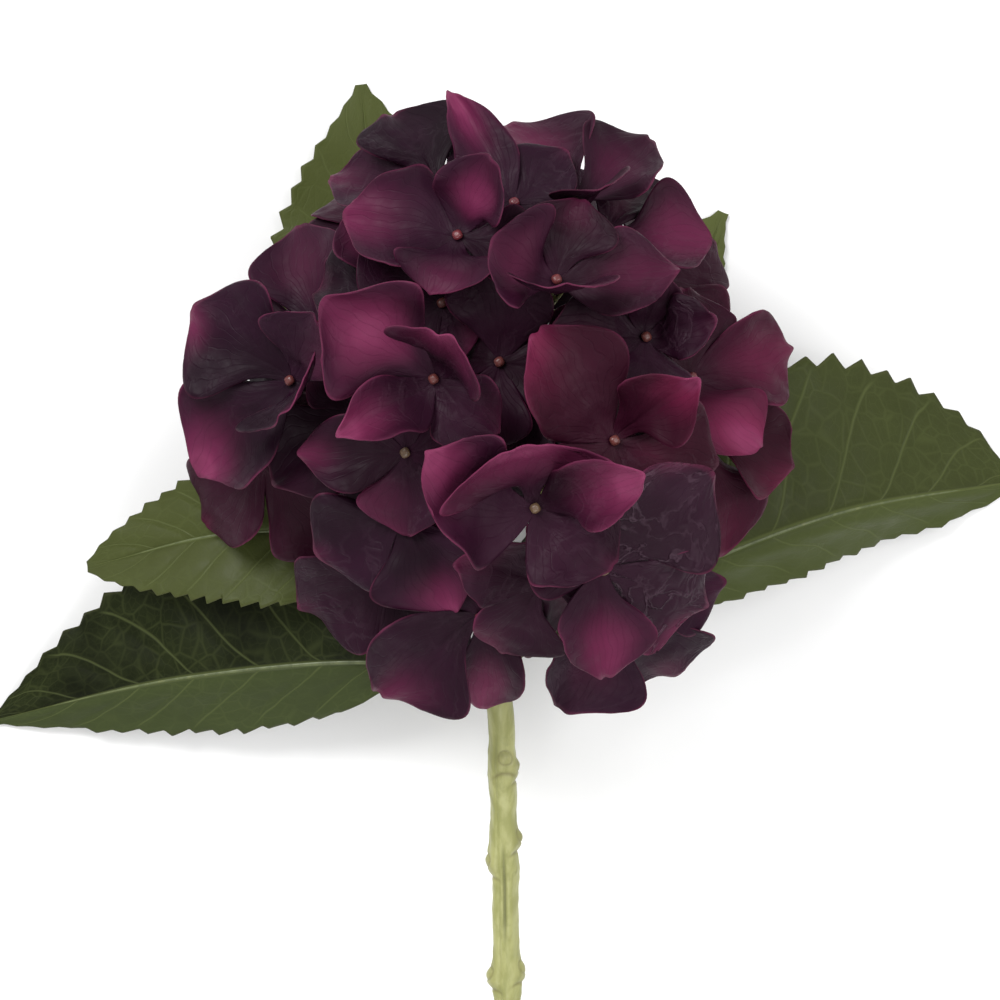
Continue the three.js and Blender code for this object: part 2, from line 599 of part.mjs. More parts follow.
function placeSepals(florets, fixed) {
  const placed = fixed;
  for (const floret of [...florets].sort((a, b) => b.centre.z - a.centre.z)) {
    const own = [];
    floret.rows = floret.sepals.map((_, index) => {
      const rows = findRoom(floret, index, placed, own);
      const solid = outward(sepalSolid(rows, 0));
      placed.push({ solid, box: boxOf(solid), owner: floret });
      return rows;
    });
  }
}

// ---- florets with their frames and the angles where neighbouring sepals meet ----
function prepareFloret(spec) {
  const centre = spread(vec(...spec.at));
  const frame = floretFrame(vec(...spec.face));
  const sepals = (spec.sepals ?? USUAL_SEPALS)
    .map((s) => [((s[0] % 360) + 360) % 360, ...s.slice(1)]).sort((a, b) => a[0] - b[0]);
  const corners = sepals.map((s, i) => {
    const before = i === 0 ? sepals[3][0] - 360 : sepals[i - 1][0];
    return deg(0.5 * (before + s[0]));
  });
  corners.push(corners[0] + 2 * Math.PI);
  return { name: `floret_${spec.name}`, centre, frame, sepals, corners };
}

function hubSolid({ centre, frame }) {
  const low = centre.clone().addScaledVector(frame.n, -0.5 * SEPAL_THICKNESS - 1.3);
  const high = centre.clone().addScaledVector(frame.n, 0.5 * SEPAL_THICKNESS + BEAD_HEIGHT);
  return tube([{ p: low, t: frame.n }, { p: high, t: frame.n }], 8, () => HUB_RADIUS);
}

// ---- build every piece ----
const florets = FLORETS.map(prepareFloret);
const stem = buildStem(florets);
const leaves = LEAVES.map((leaf) => ({ name: leaf.name, ...leafMesh(leaf) }));
const fixed = [stem, ...leaves.map((l) => outward(toManifold(l.positions, l.triangles)))]
  .map((solid) => ({ solid, box: boxOf(solid), owner: null }));
florets.forEach((floret) => {
  const solid = hubSolid(floret);
  fixed.push({ solid, box: boxOf(solid), owner: floret });
});
placeSepals(florets, fixed);

// ---- the assembly ----
const MATERIALS = {
  stem: new THREE.MeshStandardMaterial({ color: 0xb0b878, roughness: 0.5 }),
  leaf: new THREE.MeshStandardMaterial({ color: 0x4f6136, roughness: 0.6 }),
  sepal: new THREE.MeshStandardMaterial({ color: 0x7a2848, roughness: 0.5 }),
};

function stemGeometry(solid) {
  const mesh = solid.getMesh();
  const points = [];
  for (let v = 0; v < mesh.numVert; v += 1) {
    points.push(vec(...mesh.vertProperties.slice(v * mesh.numProp, v * mesh.numProp + 3)));
  }
  const triangles = [];
  for (let t = 0; t < mesh.numTri; t += 1) triangles.push([...mesh.triVerts.slice(3 * t, 3 * t + 3)]);
  return geometryOf(points, triangles);
}

const group = new THREE.Group();
function addPiece(name, geometry, material) {
  const mesh = new THREE.Mesh(geometry, material);
  mesh.name = name;
  group.add(mesh);
}

addPiece('stem', stemGeometry(stem), MATERIALS.stem);
for (const leaf of leaves) {
  addPiece(leaf.name, geometryOf(leaf.positions, leaf.triangles), MATERIALS.leaf);
}
for (const floret of florets) {
  const { positions, triangles } = floretMesh(floret);
  addPiece(floret.name, geometryOf(positions, triangles), MATERIALS.sepal);
}

// the origin is the middle of the footprint, on the floor
const box = new THREE.Box3().setFromObject(group);
const shift = vec(-0.5 * (box.min.x + box.max.x), -0.5 * (box.min.y + box.max.y), -box.min.z);
group.children.forEach((mesh) => mesh.geometry.translate(shift.x, shift.y, shift.z));

export default group;
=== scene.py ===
"""Looks of the cut hydrangea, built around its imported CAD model."""
import math

import bpy
import numpy as np
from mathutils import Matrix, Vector


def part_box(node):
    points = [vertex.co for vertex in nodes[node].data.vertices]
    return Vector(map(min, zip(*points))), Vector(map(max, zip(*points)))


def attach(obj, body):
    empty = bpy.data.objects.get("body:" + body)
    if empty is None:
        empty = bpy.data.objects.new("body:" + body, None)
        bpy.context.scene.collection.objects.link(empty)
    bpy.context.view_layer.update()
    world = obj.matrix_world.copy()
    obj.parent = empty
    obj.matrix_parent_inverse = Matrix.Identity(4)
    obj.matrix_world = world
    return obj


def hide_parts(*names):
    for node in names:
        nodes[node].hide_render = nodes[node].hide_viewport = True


MM = 0.001

# ---- camera and picture (metres) ----
CAMERA_HEIGHT = 1.4                 # above the point it looks at
PICTURE_WIDTH = 0.270               # at the height of that point
SENSOR = 36.0                       # mm
AIM_FROM_HEAD = (0.0038, -0.0244)   # picture middle, from the middle of the florets' box
AIM_HEIGHT = 0.060                  # that point, above the floor
FLOOR_HALF = 4.0
WORLD_STRENGTH = 0.62

# ---- sepals ----
SEPAL_ROWS = 26
SEPAL_COLUMNS = 25
SEPAL_THICKNESS = 0.34 * MM
HUB_SIDES = 12               # corners of the CAD hub, shared out among four sepals
LATTICE_CELLS = 3            # across a CAD sepal
LATTICE_ROWS = 4             # along a CAD sepal, beyond the hub
SEPAL_U = np.array([0.0, 0.09, 0.33, 0.62, 0.88, 1.0])   # share of length of each CAD row
SEPAL_V = np.linspace(-1, 1, LATTICE_CELLS + 1)
SHEET_FOOT = 0.15            # the sheet starts at this share of the hub's radius
TIP_FROM = 0.40              # share of the length where the outline starts to round off
TIP_ROUND = 0.85             # 0 is a square tip, 1 a fully round one
TIP_REACH = 1.03             # length and width of the sheet, against the CAD sepal
SHOULDER = 0.20              # extra width near the foot, so that neighbours meet
SHOULDER_AT = 0.34
SHOULDER_SPREAD = 0.24
USUAL_SEPAL = 27 * MM        # the length at which frill and roll have the sizes below
FRILL = 2.4 * MM
FRILL_WAVES = (2.2, 3.7, 6.0)
ROLL = (0.2, 1.1)            # least and most curl of the rim, mm
CREASE = 0.32 * MM
PLEAT = 0.10 * MM
PUFF = 0.20 * MM
PUFF_SIZE = 9 * MM
FINE_PUFF = 0.07 * MM
FINE_PUFF_SIZE = 3.2 * MM
GLOW_REACH = 28              # degrees between a sepal and its entry in MAGENTA_AND_SHEEN
EMBOSS_REACH = 30

# ---- leaves ----
LEAF_ROWS = 240
LEAF_COLUMNS = 45
LEAF_CELLS = 4
LEAF_STATIONS = 37           # rows of the CAD leaf, the first three on the petiole
PETIOLE_STATIONS = 3
BLADE_FOOT = 0.35            # the blade starts this part of a row before the CAD blade
WIDE_STATION = 12            # row where the blade's width is measured
SIDE_VEINS = 7
VEIN_SWEEP = 0.20
QUILT = 0.55 * MM
MIDRIB_GROOVE = 0.5 * MM
LEAF_FLOW = 0.9 * MM
LEAF_FLOW_SIZE = 45 * MM
LEAF_RIPPLE = 0.35 * MM
LEAF_RIPPLE_SIZE = 14 * MM
LEAF_THICKNESS = 0.38 * MM
LEAF_FLOOR_GAP = 0.25 * MM

# ---- stem ----
STEM_VOXEL = 0.42 * MM
SLIT_ABOVE_CUT = 79 * MM
SLIT_SIDE = 92               # degrees round the stalk, 90 is up
SLIT_DEPTH = 0.75 * MM
SEAM_SIDE = 118
SEAM_DEPTH = 0.45 * MM
SCAR_DEPTH = 0.38 * MM
BUD_HEIGHT = 0.7 * MM
# old leaf scars: share of the stalk's length above the cut, side in degrees, height in mm
KNOTS = ((0.900, 78, 0.80), (0.885, 0, 0.55), (0.730, 8, 0.95), (0.675, 172, 0.85),
         (0.440, 12, 0.95), (0.425, 168, 0.85), (0.200, 60, 0.80))

# ---- colours (linear red, green, blue, 1) ----
PLUM_BLACK = (0.0055, 0.0012, 0.0042, 1)
PLUM_DARK = (0.0135, 0.0024, 0.0098, 1)
PLUM = (0.0250, 0.0052, 0.0172, 1)
WINE_DARK = (0.0290, 0.0022, 0.0090, 1)
MAGENTA = (0.1180, 0.0150, 0.0520, 1)
WINE_RED = (0.1150, 0.0070, 0.0300, 1)
HOT_MAGENTA = (0.200, 0.034, 0.090, 1)
SEPAL_VEIN = (0.006, 0.0025, 0.005, 1)
EMBOSS_GROUND = (0.030, 0.014, 0.024, 1)
# painted highlight on the crests of embossed sepals
EMBOSS_CREST_HIGHLIGHT = (0.190, 0.120, 0.160, 1)
# painted highlight along the sepals' rims
SEPAL_RIM_HIGHLIGHT = (0.150, 0.024, 0.064, 1)
LEAF_BLACK = (0.0046, 0.0062, 0.0016, 1)
LEAF_DARK = (0.0110, 0.0150, 0.0034, 1)
LEAF_MOTTLE = (0.0170, 0.0225, 0.0050, 1)
LEAF_UNDERSIDE = (0.0600, 0.0780, 0.0270, 1)
LEAF_OLIVE = (0.0820, 0.0960, 0.0280, 1)
LEAF_VEIN = (0.105, 0.125, 0.042, 1)
LEAF_EDGE = (0.075, 0.078, 0.032, 1)
STALK_PALE = (0.335, 0.335, 0.135, 1)
STALK_DEEP = (0.240, 0.245, 0.080, 1)
PETIOLE_PALE = (0.100, 0.120, 0.045, 1)
PETIOLE_DEEP = (0.060, 0.075, 0.026, 1)
STALK_SPOT = (0.200, 0.205, 0.075, 1)
STALK_SCAR = (0.150, 0.135, 0.045, 1)
STALK_GROOVE = (0.10, 0.105, 0.035, 1)
BEAD_WINE = (0.130, 0.012, 0.024, 1)
BEAD_STRAW = (0.110, 0.080, 0.040, 1)
BEAD_FOOT = (0.045, 0.012, 0.015, 1)
BEAD_SPECK = (0.060, 0.016, 0.018, 1)
FLOOR_GREY = (0.90, 0.90, 0.90, 1)
FLOOR_WHITE = (0.93, 0.93, 0.93, 1)

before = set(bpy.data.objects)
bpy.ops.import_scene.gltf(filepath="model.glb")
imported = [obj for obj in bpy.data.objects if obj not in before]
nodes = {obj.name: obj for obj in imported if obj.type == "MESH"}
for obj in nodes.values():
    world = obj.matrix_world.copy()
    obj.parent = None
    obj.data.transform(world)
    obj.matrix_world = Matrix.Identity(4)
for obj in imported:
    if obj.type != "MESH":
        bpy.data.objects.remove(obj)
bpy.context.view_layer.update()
floret_names = sorted(n for n in nodes if n.startswith("floret_"))
leaf_names = sorted(n for n in nodes if n.startswith("leaf_"))


# ======================= reading the CAD meshes =======================
def welded(node):
    """Vertices and triangles of a CAD node, with vertices at one place merged."""
    mesh = nodes[node].data
    mesh.calc_loop_triangles()
    co = np.zeros(len(mesh.vertices) * 3)
    mesh.vertices.foreach_get("co", co)
    tri = np.zeros(len(mesh.loop_triangles) * 3, np.int64)
    mesh.loop_triangles.foreach_get("vertices", tri)
    co = co.reshape(-1, 3)
    keys, first, back = np.unique(
        np.round(co / 2e-6).astype(np.int64), axis=0, return_index=True, return_inverse=True)
    tri = back.reshape(-1)[tri].reshape(-1, 3)
    keep = (tri[:, 0] != tri[:, 1]) & (tri[:, 1] != tri[:, 2]) & (tri[:, 0] != tri[:, 2])
    return co[first], tri[keep]


class Topology:
    """Which triangles meet at an edge or a vertex, and which have been walked over."""

    def __init__(self, tri):
        self.tri = [tuple(int(v) for v in t) for t in tri]
        self.by_edge = {}
        self.by_vertex = {}
        self.used = set()
        for k, t in enumerate(self.tri):
            for a, b in ((t[0], t[1]), (t[1], t[2]), (t[2], t[0])):
                self.by_edge.setdefault(frozenset((a, b)), []).append(k)
            for v in t:
                self.by_vertex.setdefault(v, []).append(k)

    def neighbours(self, v):
        return {w for k in self.by_vertex[v] for w in self.tri[k]} - {v}

    def across(self, a, b):
        """The vertex opposite edge a-b in the one triangle on it not walked over yet."""
        free = [k for k in self.by_edge.get(frozenset((a, b)), []) if k not in self.used]
        if len(free) != 1:
            raise RuntimeError(f"edge has {len(free)} free triangles")
        self.used.add(free[0])
        return next(v for v in self.tri[free[0]] if v not in (a, b))

    def walk(self, row, count):
        """Rows of vertices, from a first row, over cells split along one diagonal."""
        rows = [list(row)]
        for _ in range(count):
            below = rows[-1]
            above = [None] * len(below)
            for i in range(len(below) - 1):
                right = self.across(below[i], below[i + 1])
                left = self.across(below[i], right)
                if above[i] not in (None, left):
                    raise RuntimeError("the sheet is not a regular grid")
                above[i], above[i + 1] = left, right
            rows.append(above)
        return rows


def floret_lattice(node):
    """Centre, axis and the four sepal lattices (rows, columns, xyz) of a CAD floret."""
    co, tri = welded(node)
    topo = Topology(tri)
    fans = [v for v, k in topo.by_vertex.items() if len(k) == HUB_SIDES
            and len(topo.neighbours(v)) == HUB_SIDES]
    height = {}
    for v in fans:
        ring = list(topo.neighbours(v))
        height[v] = np.linalg.norm(co[v] - co[ring].mean(0))
    fans.sort(key=lambda v: -height[v])
    apex, base = fans[0], fans[-1]
    belly = topo.neighbours(apex)
    top = set().union(*(topo.neighbours(v) for v in belly)) - belly - {apex}
    foot = topo.neighbours(base)
    bottom = set().union(*(topo.neighbours(v) for v in foot)) - foot - {base}
    axis = co[apex] - co[base]
    axis /= np.linalg.norm(axis)
    centre = co[list(top)].mean(0)
    side = np.cross(axis, (0.0, 1.0, 0.0))
    side /= np.linalg.norm(side)
    other = np.cross(axis, side)
    rel = {v: co[v] - centre for v in top}
    ring = sorted(top, key=lambda v: math.atan2(rel[v] @ other, rel[v] @ side))
    corners = [k for k, v in enumerate(ring) if topo.neighbours(v) & bottom]
    for v in belly | {apex}:
        topo.used.update(topo.by_vertex[v])
    lattices = []
    for k in corners:
        row = [ring[(k + i) % HUB_SIDES] for i in range(LATTICE_CELLS + 1)]
        lattices.append(co[np.array(topo.walk(row, LATTICE_ROWS))])
    return centre, axis, lattices, co[apex], co[base]


def leaf_lattice(node):
    """The upper sheet of a CAD leaf as (rows, columns, xyz), from the petiole's root."""
    co, tri = welded(node)
    topo = Topology(tri)
    stem_co = welded("stem")[0]
    gap = [np.linalg.norm(stem_co - p, axis=1).min() for p in co]
    ends = 2 * (LEAF_CELLS + 1)
    near = np.argsort(np.linalg.norm(co - co[int(np.argmin(gap))], axis=1))[:ends]
    end = {int(v) for v in near}
    cap = [k for k, t in enumerate(topo.tri) if set(t) <= end]
    topo.used.update(cap)
    count = {v: sum(v in topo.tri[k] for k in cap) for v in end}
    rim = {}
    for edge, faces in topo.by_edge.items():
        if edge <= end and sum(k in topo.used for k in faces) == 1:
            a, b = edge
            rim.setdefault(a, []).append(b)
            rim.setdefault(b, []).append(a)
    loop = [next(iter(rim))]
    while len(loop) < ends:
        loop.append(next(v for v in rim[loop[-1]] if v not in loop[-2:]))
    rows = []
    for way in (loop, loop[::-1]):
        for k in range(ends):
            row = [way[(k + i) % ends] for i in range(LEAF_CELLS + 1)]
            if count[row[0]] == 2 and count[row[-1]] == 1:
                rows.append(row)
    row = max(rows, key=lambda r: co[r][:, 2].mean())
    return co[np.array(topo.walk(row, LEAF_STATIONS - 1))]


# ======================= small maths =======================
def spline_weights(knots, at):
    """Weights (len(at), len(knots)) of a natural cubic spline through the knots."""
    n = len(knots)
    h = np.diff(knots)
    a = np.zeros((n, n))
    b = np.zeros((n, n))
    a[0, 0] = a[-1, -1] = 1
    for i in range(1, n - 1):
        a[i, i - 1], a[i, i], a[i, i + 1] = h[i - 1], 2 * (h[i - 1] + h[i]), h[i]
        b[i, i - 1] = 6 / h[i - 1]
        b[i, i] = -6 / h[i - 1] - 6 / h[i]
        b[i, i + 1] = 6 / h[i]
    m = np.linalg.solve(a, b)
    flat = np.ravel(at)
    k = np.clip(np.searchsorted(knots, flat, "right") - 1, 0, n - 2)
    left, right, step = knots[k], knots[k + 1], h[k]
    p, q = (right - flat) / step, (flat - left) / step
    eye = np.eye(n)
    return (p[:, None] * eye[k] + q[:, None] * eye[k + 1]
            + ((p ** 3 - p)[:, None] * m[k] + (q ** 3 - q)[:, None] * m[k + 1])
            * (step ** 2)[:, None] / 6)


def line_weights(knots, at):
    """Weights of straight pieces between the knots."""
    flat = np.ravel(at)
    k = np.clip(np.searchsorted(knots, flat, "right") - 1, 0, len(knots) - 2)
    q = (flat - knots[k]) / (knots[k + 1] - knots[k])
    eye = np.eye(len(knots))
    return (1 - q)[:, None] * eye[k] + q[:, None] * eye[k + 1]


def surface(lattice, wu, wv):
    """Points (len(wu), xyz) of a lattice, from row weights and column weights."""
    return np.einsum("pr,pc,rcx->px", wu, wv, lattice)


def ramp(x):
    """x held between 0 and 1."""
    return np.clip(x, 0, 1)


def hill(x, power=2):
    """1 at x = 0, falling off smoothly on both sides."""
    return np.exp(-x ** power)


def grid_normals(points):
    """Unit normals of a (rows, columns, xyz) grid."""
    du = np.gradient(points, axis=0)
    dv = np.gradient(points, axis=1)
    n = np.cross(du, dv)
    return n / (np.linalg.norm(n, axis=2, keepdims=True) + 1e-12)


def waves(p, seed, size, count=7):
    """Smooth seeded noise of about -1..1 at points p, features about `size` metres."""
    rng = np.random.default_rng(seed)
    total = np.zeros(len(p))
    for _ in range(count):
        d = rng.normal(size=3)
        d *= rng.uniform(0.6, 1.6) / np.linalg.norm(d)
        total += np.sin(2 * math.pi * (p @ d) / size + rng.uniform(0, 2 * math.pi))
    return total / math.sqrt(count)


# ======================= building meshes =======================
class Builder:
    """Collects sheets and tubes with their attributes into one mesh."""

    def __init__(self):
        self.co, self.faces, self.slots = [], [], []
        self.attributes = {}
        self.count = 0

    def add(self, co, faces, slot=0, **attributes):
        self.co.append(co)
        self.faces += [tuple(self.count + v for v in f) for f in faces]
        self.slots += [slot] * len(faces)
        for name in set(self.attributes) | set(attributes):
            shape = 3 if name == "flat" else 1
            old = self.attributes.setdefault(name, [np.zeros((self.count, shape))])
            value = attributes.get(name, np.zeros((len(co), shape)))
            old.append(np.broadcast_to(np.reshape(value, (-1, shape)), (len(co), shape)))
        self.count += len(co)

    def make(self, name, materials):
        mesh = bpy.data.meshes.new(name)
        mesh.from_pydata(np.concatenate(self.co).tolist(), [], self.faces)
        mesh.update()
        for key, parts in self.attributes.items():
            data = np.concatenate(parts)
            kind = "FLOAT_VECTOR" if data.shape[1] == 3 else "FLOAT"
            field = "vector" if data.shape[1] == 3 else "value"
            mesh.attributes.new(key, kind, "POINT").data.foreach_set(field, data.ravel())
        for material in materials:
            mesh.materials.append(material)
        mesh.polygons.foreach_set("material_index", self.slots)
        mesh.polygons.foreach_set("use_smooth", [True] * len(self.faces))
        obj = bpy.data.objects.new(name, mesh)
        bpy.context.scene.collection.objects.link(obj)
        return obj


def grid_faces(rows, columns, closed=False):
    """Quads of a grid, closed round its columns if asked."""
    faces = []
    last = columns if closed else columns - 1
    for j in range(rows - 1):
        for i in range(last):
            n = (i + 1) % columns
            faces.append((j * columns + i, j * columns + n,
                          (j + 1) * columns + n, (j + 1) * columns + i))
    return faces


def tube(path, radii, sides, squash=1.0):
    """Closed tube along path (points, xyz): vertices and faces."""
    tangent = np.gradient(path, axis=0)
    tangent /= np.linalg.norm(tangent, axis=1)[:, None]
    over = np.array([0.0, 0.0, 1.0]) - tangent * tangent[:, 2:3]
    over /= np.linalg.norm(over, axis=1)[:, None]
    right = np.cross(tangent, over)
    a = np.linspace(0, 2 * math.pi, sides, endpoint=False)
    ring = (np.cos(a)[None, :, None] * right[:, None, :]
            + squash * np.sin(a)[None, :, None] * over[:, None, :])
    co = path[:, None, :] + ring * np.reshape(radii, (len(path), -1, 1))
    co = co.reshape(-1, 3)
    faces = grid_faces(len(path), sides, closed=True)
    n = len(co)
    co = np.concatenate([co, path[:1], path[-1:]])
    last = (len(path) - 1) * sides
    for i in range(sides):
        j = (i + 1) % sides
        faces.append((n, j, i))
        faces.append((n + 1, last + i, last + j))
    return co, faces


def revolve(origin, axis, profile, sides, lobes=0.0):
    """Surface of revolution: profile is (radius, height) from bottom to top."""
    side = np.cross(axis, (0.31, 0.95, 0.05))
    side /= np.linalg.norm(side)
    other = np.cross(axis, side)
    a = np.linspace(0, 2 * math.pi, sides, endpoint=False)
    rows = []
    for radius, height in profile:
        r = radius * (1 + lobes * np.cos(4 * a))
        rows.append(origin + axis * height + r[:, None]
                    * (np.cos(a)[:, None] * side + np.sin(a)[:, None] * other))
    co = np.concatenate(rows)
    faces = grid_faces(len(profile), sides, closed=True)
    low, high = len(co), len(co) + 1
    co = np.concatenate([co, [rows[0].mean(0)], [rows[-1].mean(0)]])
    last = (len(profile) - 1) * sides
    for i in range(sides):
        j = (i + 1) % sides
        faces.append((low, j, i))
        faces.append((high, last + i, last + j))
    return co, faces


# ======================= materials =======================
def new_material(name):
    material = bpy.data.materials.new(name)
    material.use_nodes = True
    tree = material.node_tree
    return material, tree, tree.nodes["Principled BSDF"]


class Nodes:
    """Short calls for the shader nodes used here."""

    def __init__(self, tree):
        self.tree = tree

    def put(self, socket, value):
        """Links a socket to the input, or sets the input to a plain value."""
        if isinstance(value, bpy.types.NodeSocket):
            self.tree.links.new(value, socket)
        elif value is not None:
            socket.default_value = value

    def attribute(self, name, output="Fac"):
        node = self.tree.nodes.new("ShaderNodeAttribute")
        node.attribute_name = name
        return node.outputs[output]

    def math(self, operation, a, b=None, clamp=False):
        node = self.tree.nodes.new("ShaderNodeMath")
        node.operation = operation
        node.use_clamp = clamp
        self.put(node.inputs[0], a)
        self.put(node.inputs[1], b)
        return node.outputs[0]

    def mix(self, factor, a, b):
        node = self.tree.nodes.new("ShaderNodeMix")
        node.data_type = "RGBA"
        self.put(node.inputs["Factor"], factor)
        self.put(node.inputs["A"], a)
        self.put(node.inputs["B"], b)
        return node.outputs["Result"]

    def noise(self, vector, scale, detail=3.0, rough=0.55, distort=0.0):
        node = self.tree.nodes.new("ShaderNodeTexNoise")
        self.put(node.inputs["Vector"], vector)
        node.inputs["Scale"].default_value = scale
        node.inputs["Detail"].default_value = detail
        node.inputs["Roughness"].default_value = rough
        node.inputs["Distortion"].default_value = distort
        return node.outputs["Fac"]

    def cells(self, vector, scale):
        """Distance to the nearest edge of a net of irregular cells."""
        node = self.tree.nodes.new("ShaderNodeTexVoronoi")
        node.feature = "DISTANCE_TO_EDGE"
        self.put(node.inputs["Vector"], vector)
        node.inputs["Scale"].default_value = scale
        return node.outputs["Distance"]

    def warped(self, vector, scale, reach):
        """The vector pushed about by coloured noise, so cells lose their straight sides."""
        noise = self.tree.nodes.new("ShaderNodeTexNoise")
        self.put(noise.inputs["Vector"], vector)
        noise.inputs["Scale"].default_value = scale
        node = self.tree.nodes.new("ShaderNodeVectorMath")
        node.operation = "MULTIPLY_ADD"
        self.put(node.inputs[0], noise.outputs["Color"])
        node.inputs[1].default_value = (reach, reach, reach)
        self.put(node.inputs[2], vector)
        return node.outputs["Vector"]

    def remap(self, value, low, high, to_low=0.0, to_high=1.0):
        """The value taken smoothly from low..high to to_low..to_high, and held beyond."""
        node = self.tree.nodes.new("ShaderNodeMapRange")
        node.interpolation_type = "SMOOTHSTEP"
        self.put(node.inputs["Value"], value)
        for key, v in (("From Min", low), ("From Max", high),
                       ("To Min", to_low), ("To Max", to_high)):
            node.inputs[key].default_value = v
        return node.outputs["Result"]

    def bump(self, height, strength, distance, normal=None):
        node = self.tree.nodes.new("ShaderNodeBump")
        self.put(node.inputs["Height"], height)
        node.inputs["Strength"].default_value = strength
        node.inputs["Distance"].default_value = distance
        self.put(node.inputs["Normal"], normal)
        return node.outputs["Normal"]


def sepal_material():
    """Satin fabric sprayed from near-black plum to magenta, with pressed veins; the magenta is
    partly painted sheen, and the rims and embossed crests carry painted highlights.
    """
    material, tree, shader = new_material("sepal_fabric")
    n = Nodes(tree)
    flat = n.attribute("flat", "Vector")
    along, across = n.attribute("along"), n.attribute("across")
    glow, rim, tone, wine = (n.attribute(k) for k in ("glow", "rim", "tone", "wine"))

    cloud = n.noise(flat, 55, 3)
    fine = n.noise(flat, 420, 3)
    base = n.mix(n.remap(cloud, 0.3, 0.7), PLUM_BLACK, PLUM_DARK)
    base = n.mix(n.math("MULTIPLY", tone, 0.6), base, PLUM)
    base = n.mix(wine, base, WINE_DARK)
    # magenta: partly the fabric's dye, partly painted sheen where light falls on the satin
    spread = n.math("ADD", glow, n.math("MULTIPLY", n.math("SUBTRACT", cloud, 0.5), 0.30), True)
    magenta = n.mix(wine, MAGENTA, WINE_RED)
    colour = n.mix(n.remap(spread, 0.0, 1.0), base, magenta)
    colour = n.mix(n.remap(spread, 0.75, 1.2), colour, HOT_MAGENTA)

    # veins fan out from the foot of the sepal, and a net joins them where it is embossed
    angle = n.math("ARCTAN2", across, n.math("ADD", along, 0.12))
    wander = n.math("MULTIPLY", n.math("SUBTRACT", n.noise(flat, 80, 2), 0.5), 0.7)
    fan = n.math("MULTIPLY", n.math("ADD", angle, wander), 6.0)
    ridge = n.math("ABSOLUTE", n.math("SUBTRACT", n.math("FRACT", fan), 0.5))
    vein = n.remap(ridge, 0.0, 0.12, 1.0, 0.0)
    edges = n.cells(n.warped(flat, 120, 0.0035), 170)
    net = n.remap(edges, 0.0, 0.16, 1.0, 0.0)
    emboss = n.attribute("emboss")
    lines = n.math("MAXIMUM", n.math("MULTIPLY", vein, 0.5), n.math("MULTIPLY", net, emboss))
    colour = n.mix(n.math("MULTIPLY", vein, 0.10), colour, SEPAL_VEIN)
    wrinkle = n.noise(n.warped(flat, 90, 0.003), 150, 3, 0.5, 0.5)
    wrinkle = n.math("ABSOLUTE", n.math("SUBTRACT", wrinkle, 0.5))
    patch = n.remap(n.noise(flat, 60, 2), 0.40, 0.62, 0.25, 1.0)
    embossed = n.math("MULTIPLY", emboss, patch)
    crest = n.math("MULTIPLY", n.remap(wrinkle, 0.0, 0.060, 1.0, 0.0), embossed)
    colour = n.mix(n.math("MULTIPLY", emboss, 0.30), colour, EMBOSS_GROUND)
    # painted highlight on the crests of the embossing, in patches; the crests are also bumped below
    colour = n.mix(n.math("MULTIPLY", crest, 0.22), colour, EMBOSS_CREST_HIGHLIGHT)
    # painted highlight along the rim
    edge = n.remap(rim, 0.955, 1.0)
    edge = n.math("MULTIPLY", edge, n.remap(cloud, 0.35, 0.65, 0.15, 0.55))
    colour = n.mix(edge, colour, SEPAL_RIM_HIGHLIGHT)
    tree.links.new(colour, shader.inputs["Base Color"])

    rough = n.remap(fine, 0.3, 0.7, 0.44, 0.58)
    tree.links.new(rough, shader.inputs["Roughness"])
    pleats = n.math("MULTIPLY", n.noise(flat, 150, 3, 0.5, 0.6), 0.35)
    height = n.math("SUBTRACT", n.math("ADD", n.math("MULTIPLY", fine, 0.10), pleats),
                    n.math("MULTIPLY", lines, 0.75))
    normal = n.bump(height, 0.40, 0.00040)
    normal = n.bump(crest, 0.85, 0.0009, normal)
    tree.links.new(normal, shader.inputs["Normal"])
    shader.inputs["Specular IOR Level"].default_value = 0.09
    return material


